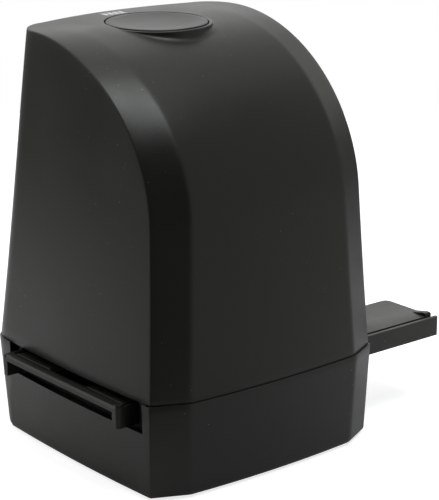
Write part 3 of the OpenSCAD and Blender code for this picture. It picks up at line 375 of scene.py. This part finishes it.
def frontColumns(creaseX, s=shell):
    inner = creaseX - facetOffsets[-1]
    left = [-creaseX] + [off - creaseX for off in facetOffsets]
    middle = np.linspace(-inner, inner, s["crownCells"] + 1)[1:-1]
    return np.concatenate([left, middle, [-x for x in reversed(left)]])


def surfaceHeight(x, y, inset, s=shell):
    low, high = np.full(x.shape, s["archStart"]), np.full(x.shape, s["top"] - inset)
    for _ in range(s["halvings"]):
        z = (low + high) / 2
        creaseX = sideAt(creaseY(z), z) - inset
        below = creaseY(z, inset) - frontDepth(x, creaseX) < y
        low, high = np.where(below, z, low), np.where(below, high, z)
    return high


def unit(v):
    return v / np.linalg.norm(v, axis=-1, keepdims=True)


def upperSkin(skin, inset, edge, s=shell):
    top = s["top"] - inset
    low, arch, corner = s["lowRows"], s["archRows"], s["cornerRows"]
    zs = np.concatenate([
        np.linspace(s["seam"] + s["rimRound"], s["archStart"], low + 1),
        s["archStart"] + (top - s["archStart"]) * np.sin(np.radians(np.linspace(0, 90, arch + 1)[1:]))])
    creaseX = sideAt(creaseY(zs), zs) - inset
    columns = np.array([frontColumns(x) for x in creaseX])
    count = columns.shape[1]
    # one half of the line where front and top meet the walls, from the seam to the middle of the back
    spread = 1 + columns[-1][:count // 2 + 1] / creaseX[-1]
    parts = np.concatenate([np.linspace(0, 1, corner + 1), 1 + spread[1:]])
    line = np.concatenate([np.stack([creaseX, creaseY(zs, inset), zs], 1), backPoint(parts, top, inset)])
    run = unit(np.gradient(line, axis=0))
    run[-1] = (-1, 0, 0)
    rows = len(zs)
    step = s["probe"]
    intoFront = np.stack([-run[:, 1], run[:, 0], 0 * run[:, 0]], 1)
    intoFront[:rows] = (-s["facetWidth"], -s["facetDepth"], 0)
    intoWall = backPoint(parts, top - step, inset) - line[rows:]
    dy, dz = run[:rows, 2] * step, -run[:rows, 1] * step
    y, z = line[:rows, 1], line[:rows, 2]
    intoSide = np.stack([sideAt(y + dy, z + dz) - sideAt(y, z), dy, dz], 1)
    intoWall = np.concatenate([intoSide, intoWall])
    intoFront, intoWall = [unit(d - run * (d * run).sum(1, keepdims=True)) for d in (intoFront, intoWall)]
    half = np.stack([line + edge * ((1 - t) ** 2 * intoFront + t ** 2 * intoWall)
                     for t in np.linspace(0, 1, s["edgeRows"])], 1)
    half[..., 2] = np.minimum(half[..., 2], top)
    flip = np.array([-1, 1, 1])
    band = np.concatenate([half * flip, half[:-1][::-1]])
    bandIds = skin.add(band)
    total = len(band)
    # front and top: rows up the front, over the arch, then across the flat top to the back edge
    front = np.stack([columns, creaseY(zs, inset)[:, None] - frontDepth(columns, creaseX[:, None]),
                      np.repeat(zs[:, None], count, 1)], 2)
    front[:, 0], front[:, -1] = band[:rows, 0], band[::-1][:rows, 0]
    v = np.linspace(0, 1, corner + 2)[1:, None, None]
    u = np.linspace(0, 1, count)[None, :, None]
    left, right = band[rows:rows + corner + 1, 0][:, None], band[::-1][rows:rows + corner + 1, 0][:, None]
    first, last = front[-1][None], band[rows + corner:total - rows - corner, 0][None]
    flat = ((1 - v) * first + v * last + (1 - u) * left + u * right - (1 - u) * (1 - v) * first[:, :1]
            - u * (1 - v) * first[:, -1:] - (1 - u) * v * last[:, :1] - u * v * last[:, -1:])
    frontAll = np.concatenate([front, flat])
    rowA = low + s["collarRow"]
    rowB = rows + corner - 1
    colA, colB = len(facetOffsets) + 1, count - len(facetOffsets) - 2
    frontIds = skin.add(frontAll)
    frontIds[:rows + corner, 0] = bandIds[:rows + corner, 0]
    frontIds[:rows + corner, -1] = bandIds[::-1][:rows + corner, 0]
    frontIds[-1] = bandIds[rows + corner:total - rows - corner, 0]
    skin.sheet(frontIds, lambda r, c: not (rowA <= r < rowB and colA <= c < colB))
    # the patch that leads from that square of cells to the round collar
    block = [(rowA, c) for c in range(colA, colB)] + [(r, colB) for r in range(rowA, rowB)]
    block += [(rowB, c) for c in range(colB, colA, -1)] + [(r, colA) for r in range(rowB, rowA, -1)]
    outer = np.array([frontAll[r, c] for r, c in block])
    angle = np.arctan2(outer[:, 1] - collar["y"], outer[:, 0])
    radius = collar["radius"] + collar["blend"]
    ring = np.stack([radius * np.cos(angle), collar["y"] + radius * np.sin(angle)], 1)
    patch = [np.array([frontIds[r, c] for r, c in block])]
    for t in np.linspace(0, 1, collar["rings"])[1:]:
        plan = outer[:, :2] * (1 - t) + ring * t
        patch.append(skin.add(np.column_stack([plan, surfaceHeight(plan[:, 0], plan[:, 1], inset)])))
    skin.sheet(patch, closed=True)
    # walls: straight columns from the seam up to that line, round from crease to crease
    skin.sheet(bandIds)
    ends = band[low:total - low, -1]
    share = np.linspace(0, 1, low + 1)[:, None]
    seamZ = s["seam"] + s["rimRound"]
    wall = np.zeros((low + 1, len(ends), 3))
    halfEnds = (len(ends) + 1) // 2
    tops = ends[:arch + 1]
    startY = band[0, -1, 1]
    footY = startY + (s["cornerY"] - s["footBack"] - startY) * np.linspace(0, 1, arch + 1)
    sideY = footY + (tops[:, 1] - footY) * share
    sideZ = seamZ + (tops[:, 2] - seamZ) * share
    wall[:, :arch + 1] = np.stack([inset - sideAt(sideY, sideZ), sideY, sideZ], 2)
    backZ = seamZ + (ends[arch + 1:halfEnds, 2] - seamZ) * share
    wall[:, arch + 1:halfEnds] = backPoint(parts[None, :] + 0 * backZ, backZ, inset) * flip
    wall[:, halfEnds:] = wall[:, :len(ends) - halfEnds][:, ::-1] * flip
    wallIds = skin.add(wall)
    wallIds[-1] = bandIds[low:total - low, -1]
    wallIds[:, 0], wallIds[:, -1] = bandIds[:low + 1, -1], bandIds[::-1][:low + 1, -1]
    skin.sheet(wallIds)
    foot = np.concatenate([frontIds[0], bandIds[-1][1:], wallIds[0][::-1][1:], bandIds[0][::-1][1:-1]])
    return foot, patch[-1], angle


def collarRows(skin, hole, innerHole, angle, c=collar):
    lead = np.stack([np.cos(angle), np.sin(angle)], 1)

    def level(radius, inset=0.0):
        return surfaceHeight(radius * lead[:, 0], c["y"] + radius * lead[:, 1], inset)

    def row(radius, height):
        return skin.add(np.column_stack([radius * lead[:, 0], c["y"] + radius * lead[:, 1],
                                         height + 0 * angle]))

    outside, well = c["radius"], c["wellRadius"]
    low = level(outside)
    lip = np.maximum(c["top"], low)
    lift = np.minimum(c["liftMost"], c["liftShare"] * (lip - low))
    drop = np.minimum(c["dropMost"], c["dropShare"] * (lip - low))
    rows = [hole]
    rows += [row(outside + out, level(outside + out) + up * lift) for out, up in c["footRows"]]
    rows += [row(outside - inward, height) for inward, height in (
        (0, low + lift), (0, lip - drop), (0.1, lip - 0.4 * drop), (0.32, lip - 0.1 * drop), (0.6, lip))]
    rows += [row(well + out, height) for out, height in (
        (0.35, lip), (0.1, lip - 0.1), (0, lip - 0.35), (0, c["bottom"]))]
    rows += [row(outside, height) for height in (c["bottom"], level(outside, shell["wall"]) - c["overlap"])]
    skin.sheet(rows + [innerHole], closed=True)


def rimRows(skin, outer, inner, z, turn):
    # closes a wall's edge between its two skins, with a small rounding on the outside
    outside, inside = (np.array(skin.points)[ids] for ids in (outer, inner))
    across = (inside - outside) * [1, 1, 0]
    across = across / np.maximum(np.linalg.norm(across, axis=1, keepdims=True), 1e-9)
    rows = [outer]
    for away, height in ((0.3, 0.3), (1.0, 0.0)):
        ring = outside + across * shell["rimRound"] * away
        ring[:, 2] = z + turn * shell["rimRound"] * height
        rows.append(skin.add(ring))
    inside[:, 2] = z
    skin.sheet(rows + [skin.add(inside), inner], closed=True)


def upperShell():
    skin = Skin()
    foot, hole, angle = upperSkin(skin, 0.0, shell["edge"])
    innerFoot, innerHole, _ = upperSkin(skin, shell["wall"], shell["innerEdge"])
    collarRows(skin, hole, innerHole, angle)
    rimRows(skin, foot, innerFoot, shell["seam"], 1)
    for x, y in screwPlaces:
        for side in (-1, 1):  # the long screw posts
            skin.turned((side * x, y), screwPost, 24)
    for a in (90, 200, 340):  # bosses of the button guide
        spot = (24 * math.cos(math.radians(a)), collar["y"] + 24 * math.sin(math.radians(a)))
        skin.turned(spot, guideBoss, 24)
    return newPiece("upperShell", skin.mesh("upperShell"), "housing_plastic", "housing", ["upper_housing"])


upperShell()

# lower shell
base = {"bottom": 0.85, "floor": 3.5, "top": 37.43, "step": 0.75, "frontSet": 0.35, "backSet": 0.36,
        "rimRound": 0.1, "rimStart": 0.03, "drawIn": 1.2, "drawFront": 0.3, "drawBack": 1.0, "cornerGrow": 3.0,
        "wall": 2.2, "slotY": (-46.9, 39.4), "slotEnds": (-48.6, 41.6), "slotZ": 25.91, "sideCells": 26,
        "sideLevels": (29, 32, 34.4), "middleLevel": 19, "haunchStart": 34,
        "lipInset": 2.5, "lipWall": 1.2, "lipTop": 39.6, "lipDepth": 0.5,
        "portHalf": 4.35, "portZ": (8.15, 13.05),
        "underEdge": ((1.6, 0), (0.95, 0.09), (0.5, 0.3), (0.2, 0.62), (0.04, 1.0), (0, 1.5)),
        "footAt": (43.1, 32.9), "footRadius": 5.6, "footDepth": 1.25,
        "headRadius": 3.2, "headTop": 4.3, "seatSides": 40}
sleeve = ((0, 3.2), (4.7, 3.2), (4.7, 8.05), (1.7, 8.05), (1.7, 4.4), (0, 4.4))
postKinds = (  # top, radius and places of the posts, mirrored left to right
    (23.86, 3.5, ((30.1, -49.15), (34.1, 43.95))),
    (6.95, 2.5, ((25, 26.9), (25, 49.0), (24.5, -20), (24.5, 15))),
)


def baseRing(z, inset, front, back, more, s=shell, b=base):
    # half a ring at height z, from the middle of the front to the middle of the back
    creaseX, crease = sideAt(s["frontY"], s["seam"]) - inset, s["frontY"] + inset + front
    columns = frontColumns(creaseX)[-(s["crownCells"] // 2 + len(facetOffsets) + 1):-1]
    frontPart = np.stack([columns, crease - frontDepth(columns, creaseX)], 1)
    corner = np.array([creaseX, crease])
    t = np.linspace(0, 1, s["edgeRows"])[:, None]
    setBack = s["edge"] * ((1 - t) ** 2 * unit(np.array([[-s["facetWidth"], -s["facetDepth"]]])) + t ** 2 * [[0, 1]])
    ys = np.concatenate([b["slotEnds"][:1], np.linspace(*b["slotY"], b["sideCells"] + 1), b["slotEnds"][1:]])
    sidePart = np.stack([sideAt(ys, s["seam"] + 0 * ys) - inset, ys], 1)
    half = b["portHalf"] / (sideAt(s["cornerY"], s["seam"]) - s["cornerRadius"])
    parts = np.concatenate([np.linspace(0, 1, s["cornerRows"] + 1), 2 - np.array([0.8, 0.6, 0.4, 0.2, half, 0])])
    backPart = backPoint(parts, s["seam"], inset, more)[:, :2] - [0, back]
    ring = np.concatenate([frontPart, corner + setBack, sidePart, backPart])
    ring = np.concatenate([ring, ring[1:-1][::-1] * [-1, 1]])
    return np.column_stack([ring, np.full(len(ring), z)])


def lowerShell(b=base):
    skin = Skin()

    def ring(z, inset):
        low = (b["top"] - z) / (b["top"] - b["bottom"])
        return baseRing(z, inset - b["step"] + low * b["drawIn"], b["frontSet"] + low * b["drawFront"],
                        b["backSet"] + low * b["drawBack"], low * b["cornerGrow"])

    levels = [b["floor"], *b["portZ"], b["middleLevel"], b["slotZ"], *b["sideLevels"],
              b["top"] - b["rimRound"], b["top"] - b["rimStart"], b["top"]]
    rounding = {b["top"] - b["rimStart"]: b["rimStart"], b["top"]: b["rimRound"]}
    outer = np.array([skin.add(ring(z, rounding.get(z, 0))) for z in levels])
    haunch = b["lipInset"] + b["lipWall"] + b["step"]
    inner = np.array([skin.add(ring(z, haunch if z > b["haunchStart"] else b["wall"])) for z in levels])
    spots = np.array(skin.points)[outer[0]]
    count = outer.shape[1]
    following = spots[(np.arange(count) + 1) % count]
    middle = (spots + following) / 2
    inSlot = (abs(middle[:, 0]) > 45) & (middle[:, 1] > b["slotY"][0]) & (middle[:, 1] < b["slotY"][1])
    inPort = (abs(middle[:, 0]) < b["portHalf"]) & (middle[:, 1] > 40)
    slotRow, portRow = levels.index(b["slotZ"]), levels.index(b["portZ"][0])

    def filled(r, c):
        return not ((inSlot[c % count] and r >= slotRow) or (inPort[c % count] and r == portRow))

    skin.sheet(outer, filled, closed=True)
    skin.sheet(inner, filled, closed=True)
    last = len(levels) - 1
    for c in range(count):  # the edges round the openings and along the top
        n = (c + 1) % count
        for r in range(1, last + 1):
            if filled(r - 1, c) != (r < last and filled(r, c)):
                skin.fill([outer[r, c], outer[r, n], inner[r, n], inner[r, c]])
        for r in range(last):
            if filled(r, c) != filled(r, n):
                skin.fill([outer[r, n], outer[r + 1, n], inner[r + 1, n], inner[r, n]])
    skin.fill(inner[0])
    under = [outer[0]] + [skin.add(ring(b["bottom"] + z, i)) for z, i in b["underEdge"]]
    skin.sheet(under, closed=True)
    # the locating lip, in front of and behind the slots
    lipIn, lipOut = b["lipInset"], b["lipInset"] + b["lipWall"]
    lipFoot = b["top"] - b["lipDepth"]
    lip = np.array([skin.add(baseRing(z, i, 0, 0, 0)) for z, i in
                    ((lipFoot, lipIn), (b["lipTop"], lipIn), (b["lipTop"], lipOut), (lipFoot, lipOut))])
    loop = np.concatenate([lip, lip[:1]])
    skin.sheet(loop, lambda r, c: not inSlot[c % count], closed=True)
    for c in range(count):
        if inSlot[c] != inSlot[c - 1]:
            skin.fill(lip[:, c])
    for x, y in screwPlaces:
        for side in (-1, 1):  # sleeves round the housing screws
            skin.turned((side * x, y), sleeve, 32)
    for top, radius, places in postKinds:  # posts of the film guide and of the boards
        profile = [(0, 3.2), (radius, 3.2), (radius, top), (1.05, top), (1.05, top - 2), (0, top - 2)]
        for side in (-1, 1):
            for x, y in places:
                skin.turned((side * x, y), profile, 24)
    mesh = skin.mesh("lowerShell")
    closeUnderside(mesh, skin, under[-1], b)
    return newPiece("lowerShell", mesh, "housing_plastic", "housing", ["lower_housing"])


def closeUnderside(mesh, skin, rim, b):
    # the underside: its outline, with a shallow seat for each foot and a deep one for each screw head
    work = bmesh.new()
    work.from_mesh(mesh)
    work.verts.ensure_lookup_table()
    edges = [work.edges.get((work.verts[int(v)], work.verts[int(rim[(i + 1) % len(rim)])]))
             for i, v in enumerate(rim)]
    seats = [(sx * b["footAt"][0], sy * b["footAt"][1], b["footRadius"], b["bottom"] + b["footDepth"])
             for sx in (-1, 1) for sy in (-1, 1)]
    seats += [(sx * x, y, b["headRadius"], b["headTop"]) for sx in (-1, 1) for x, y in screwPlaces]
    sides = b["seatSides"]
    turns = [2 * math.pi * i / sides for i in range(sides)]
    for x, y, radius, top in seats:
        low, high = [[work.verts.new(((x + middleX + radius * math.cos(a)) / 1000,
                                      (y + radius * math.sin(a)) / 1000, z / 1000)) for a in turns]
                     for z in (b["bottom"], top)]
        for i in range(sides):
            work.faces.new([low[i], low[i - 1], high[i - 1], high[i]])
            edges.append(work.edges.get((low[i], low[i - 1])))
        work.faces.new(high)
    bmesh.ops.triangle_fill(work, use_beauty=True, edges=edges)
    work.to_mesh(mesh)
    work.free()


lowerShell()

# scan button
button = {"radius": 19.6, "top": 161.95, "round": 0.5, "dish": 1.2, "dishRadius": 17.9, "skirt": 155.4,
          "under": 157.4, "inner": 17.9, "stem": 4.0, "stemEnd": 144.0, "groove": (144.55, 145.25),
          "grooveRadius": 3.2, "sides": 128}


def scanButton(b=button):
    ball = (b["dishRadius"] ** 2 + b["dish"] ** 2) / (2 * b["dish"])
    profile = [(0, b["top"] - b["dish"])]
    profile += [(r, b["top"] - b["dish"] + ball - math.sqrt(ball ** 2 - r * r))
                for r in np.linspace(0, b["dishRadius"], 20)[1:-1]]
    profile += [(b["dishRadius"] - 0.35, b["top"] - 0.045), (b["dishRadius"] + 0.1, b["top"] - 0.01)]
    turn = b["round"]
    profile += [(b["radius"] - turn + turn * math.sin(a), b["top"] - turn + turn * math.cos(a))
                for a in np.linspace(0, math.pi / 2, 8)]
    groove = b["groove"]
    profile += [(b["radius"], b["skirt"] + 0.2), (b["radius"] - 0.2, b["skirt"]), (b["inner"], b["skirt"]),
                (b["inner"], b["under"]), (b["stem"] + 0.5, b["under"]), (b["stem"], b["under"] - 0.5),
                (b["stem"], groove[1]), (b["grooveRadius"], groove[1]), (b["grooveRadius"], groove[0]),
                (b["stem"], groove[0]), (b["stem"], b["stemEnd"] + 0.3), (b["stem"] - 0.3, b["stemEnd"]),
                (0, b["stemEnd"])]
    skin = Skin()
    skin.turned((0, collar["y"]), profile, b["sides"])
    return newPiece("scanButton", skin.mesh("scanButton"), "button_plastic", "button", ["scan_button"])


scanButton()

# film holder
softening = {"holderFrame": ("film_holder_frame", 0.00028), "holderCover": ("film_holder_cover", 0.00025)}


def softened(pieceName, nodeName, width):
    # the holder's own shape with its edges broken, as a mould leaves them
    mesh = frame["nodes"][nodeName].data.copy()
    mesh.materials.clear()
    work = bmesh.new()
    work.from_mesh(mesh)
    bmesh.ops.remove_doubles(work, verts=work.verts, dist=2e-6)
    bmesh.ops.dissolve_limit(work, angle_limit=math.radians(1), verts=work.verts, edges=work.edges)
    sharp = [e for e in work.edges if len(e.link_faces) == 2 and e.calc_face_angle() > math.radians(40)]
    bmesh.ops.bevel(work, geom=sharp, offset=width, segments=2, profile=0.5, affect="EDGES", clamp_overlap=True)
    work.to_mesh(mesh)
    work.free()
    return newPiece(pieceName, mesh, "holder_plastic", "film_holder", [nodeName], smooth=18)


for pieceName, facts in softening.items():
    softened(pieceName, *facts)

# feet, placed and shaped by nodes
feet = {"Radius": 5.5, "Height": 2.09, "Round": 0.45}


def footTree(inputs):
    tree = bpy.data.node_groups.new("feet", "GeometryNodeTree")
    face = tree.interface
    face.new_socket("Geometry", in_out="INPUT", socket_type="NodeSocketGeometry")
    for name, value in inputs.items():
        face.new_socket(name, in_out="INPUT", socket_type="NodeSocketFloat").default_value = value
    face.new_socket("Material", in_out="INPUT", socket_type="NodeSocketMaterial")
    face.new_socket("Geometry", in_out="OUTPUT", socket_type="NodeSocketGeometry")

    def node(kind, values=None, **settings):
        made = tree.nodes.new(kind)
        for key, value in settings.items():
            setattr(made, key, value)
        for key, value in (values or {}).items():
            if isinstance(value, bpy.types.NodeSocket):
                tree.links.new(value, made.inputs[key])
            else:
                made.inputs[key].default_value = value
        return made.outputs

    given = node("NodeGroupInput")
    # a rod on end whose radius follows its height gives the rounded pad
    spine = node("GeometryNodeCurvePrimitiveLine", {"End": node("ShaderNodeCombineXYZ", {
        "Z": given["Height"]})[0]})[0]
    spine = node("GeometryNodeResampleCurve", {"Curve": spine, "Count": 25})[0]
    height = node("ShaderNodeSeparateXYZ", {0: node("GeometryNodeInputPosition")[0]})["Z"]
    short = node("ShaderNodeMapRange", {"Value": height, "From Min": 0.0, "From Max": given["Round"],
                                        "To Min": 1.0, "To Max": 0.0})[0]
    inward = node("ShaderNodeMath", {0: 1.0, 1: node("ShaderNodeMath", {0: short, 1: 2.0}, operation="POWER")[0]},
                  operation="SUBTRACT")[0]
    inward = node("ShaderNodeMath", {0: inward}, operation="SQRT")[0]
    inward = node("ShaderNodeMath", {0: 1.0, 1: inward}, operation="SUBTRACT")[0]
    radius = node("ShaderNodeMath", {0: given["Radius"], 1: node("ShaderNodeMath", {
        0: inward, 1: given["Round"]}, operation="MULTIPLY")[0]}, operation="SUBTRACT")[0]
    disc = node("GeometryNodeCurvePrimitiveCircle", {"Resolution": 48, "Radius": 1.0})[0]
    solid = node("GeometryNodeCurveToMesh", {"Curve": spine, "Profile Curve": disc, "Fill Caps": True,
                                             "Scale": radius})[0]
    placed = node("GeometryNodeInstanceOnPoints", {"Points": given["Geometry"], "Instance": solid})[0]
    real = node("GeometryNodeRealizeInstances", {0: placed})[0]
    dressed = node("GeometryNodeSetMaterial", {"Geometry": real, "Material": given["Material"]})[0]
    node("NodeGroupOutput", {0: dressed})
    return tree


def bakedNodes(name, tree, points, inputs):
    start = bpy.data.meshes.new(name)
    start.from_pydata(points, [], [])
    carrier = bpy.data.objects.new(name, start)
    scene.collection.objects.link(carrier)
    modifier = carrier.modifiers.new("nodes", "NODES")
    modifier.node_group = tree
    ids = {item.name: item.identifier for item in tree.interface.items_tree if item.in_out == "INPUT"}
    for key, value in inputs.items():
        modifier[ids[key]] = value
    evaluated = carrier.evaluated_get(bpy.context.evaluated_depsgraph_get())
    mesh = bpy.data.meshes.new_from_object(evaluated)
    carrier.modifiers.remove(modifier)
    bpy.data.objects.remove(carrier)
    mesh.materials.clear()
    return mesh


footSizes = {name: value / 1000 for name, value in feet.items()}
footPoints = [((sx * base["footAt"][0] + middleX) / 1000, sy * base["footAt"][1] / 1000, 0)
              for sx in (-1, 1) for sy in (-1, 1)]
footMesh = bakedNodes("rubberFeet", footTree(footSizes), footPoints,
                      {**footSizes, "Material": finishes["rubber"].material})
newPiece("rubberFeet", footMesh, "rubber", "housing", ["rubber_feet"])


def buttonCoil():
    mesh = frame["nodes"]["button_spring"].data.copy()
    mesh.materials.clear()
    piece = newPiece("buttonCoil", mesh, "spring_steel", "housing", ["button_spring"], smooth=60)
    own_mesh(piece)


buttonCoil()

# floor, backdrop and light
studio = {"paper": (-0.38, 0.26, -0.14, 0.55), "paperColour": 0.8, "whiteLift": 0.8, "skyLight": 0.75,
          "tableSize": 4.0, "tableLow": 0.003, "tableColour": 0.1, "cardColumns": 13, "cardRows": 7}
cards = {  # round the object: bearing from and to, height from and to, in degrees, distance, how bright mirrored
    "darkCloth": ((-190, -84), (-0.1, 62), 1.8, 0.10),
    "greyCard": ((-84, -8), (-0.1, 40), 1.8, 0.46),
    "highCard": ((-84, -8), (40, 66), 1.8, 0.34),
    "paleCard": ((-8, 38), (-0.1, 38), 1.8, 0.8),
    "roofCard": ((-8, 38), (38, 62), 1.8, 0.56),
    "lowCard": ((-16, 22), (-0.1, 13), 1.7, 0.24),
}


class Sky(Finish):
    def __init__(self, world):
        self.tree, self.shader = world.node_tree, world.node_tree.nodes["Background"]
        self.shader.inputs["Color"].default_value = (1, 1, 1, 1)


def stagePiece(name, points, faces, colour, mirrored, lift=0.0, shown=True):
    # mirrored says how bright the piece looks in reflections, and lift how much the camera adds to it
    mesh = bpy.data.meshes.new(name)
    mesh.from_pydata([tuple(map(float, point)) for point in points], [], faces)
    piece = bpy.data.objects.new(name, mesh)
    scene.collection.objects.link(piece)
    finish = Finish(name, Roughness=1.0, Specular_IOR_Level=0.0, Emission_Strength=1.0)
    finish.feed(Base_Color=finish.blend(finish.noise(60, 2), (colour,) * 3, (colour * 1.02,) * 3),
                Emission_Color=finish.ray("Is Glossy Ray") * mirrored(finish) + finish.ray("Is Camera Ray") * lift)
    mesh.materials.append(finish.material)
    piece.visible_camera = shown
    piece.visible_transmission = shown


def paperGlow(finish):
    # the far side of the paper mirrors brighter than the near side
    px, py = finish.axes()[:2]
    turn = math.radians(cameraSettings["turn"])
    return finish.ramp(py * math.cos(turn) - px * math.sin(turn), -0.12, 0.06, (0.0, 0.32))


def tableGlow(finish):
    px, py = finish.axes()[:2]
    return finish.ramp(py, -0.2, 0.0, (1.0, 0.0)) * finish.ramp(px, -0.16, 0.04, (-0.03, 0.31)) + 0.13


def rectangle(u, v, across, deep, z=0.0):
    # four corners from a span along each of two level directions
    return [a * np.array([*across, 0]) + b * np.array([*deep, 0]) + [0, 0, z]
            for a, b in ((u[0], v[0]), (u[1], v[0]), (u[1], v[1]), (u[0], v[1]))]


def studioRoom(s=studio):
    turn = math.radians(cameraSettings["turn"])
    left, right, near, far = s["paper"]
    corners = rectangle((left, right), (near, far), (math.cos(turn), math.sin(turn)),
                        (-math.sin(turn), math.cos(turn)))
    stagePiece("paper", corners, [(0, 1, 2, 3)], s["paperColour"], paperGlow, s["whiteLift"])
    span = (-s["tableSize"], s["tableSize"])
    corners = rectangle(span, span, (1, 0), (0, 1), -s["tableLow"])
    stagePiece("table", corners, [(0, 1, 2, 3)], s["tableColour"], tableGlow, shown=False)
    wide, high = s["cardColumns"], s["cardRows"]
    faces = [(r * wide + c, r * wide + c + 1, (r + 1) * wide + c + 1, (r + 1) * wide + c)
             for r in range(high - 1) for c in range(wide - 1)]
    for name, (bearing, height, away, level) in cards.items():
        bearings, rises = np.radians(np.linspace(*bearing, wide)), np.radians(np.linspace(*height, high))
        points = [(away * math.cos(e) * math.cos(a), away * math.cos(e) * math.sin(a), away * math.sin(e))
                  for e in rises for a in bearings]
        stagePiece(name, points, faces, s["tableColour"], lambda finish, level=level: level, shown=False)

    world = bpy.data.worlds.new("studio")
    world.use_nodes = True
    scene.world = world
    sky = Sky(world)
    direct = sky.ray("Is Camera Ray") + sky.ray("Is Glossy Ray") + sky.ray("Is Transmission Ray")
    sky.feed(Strength=sky.ramp(direct, 0.0, 1.0, (s["skyLight"], 1.0)))


lamps = {  # place, aim and size in metres, power in watts
    "softBox": {"place": (0.1, -0.36, 1.3), "aim": (0, -0.02, 0.1), "size": (0.5, 0.6), "power": 5.0,
                "colour": (0.88, 0.95, 1.0)},
}


def hangLamp(name, place, aim, size, power, colour):
    data = bpy.data.lights.new(name, "AREA")
    data.shape, data.size, data.size_y = "RECTANGLE", *size
    data.energy, data.color = power, colour
    lamp = bpy.data.objects.new(name, data)
    lamp.location = place
    away = np.array(aim) - np.array(place)
    tilt = math.acos(-away[2] / np.linalg.norm(away))
    lamp.rotation_euler = (tilt, 0, math.atan2(away[1], away[0]) - math.pi / 2)
    scene.collection.objects.link(lamp)


studioRoom()
for lampName, facts in lamps.items():
    hangLamp(lampName, **facts)
scene.view_settings.view_transform = "Standard"
print("studio lit")
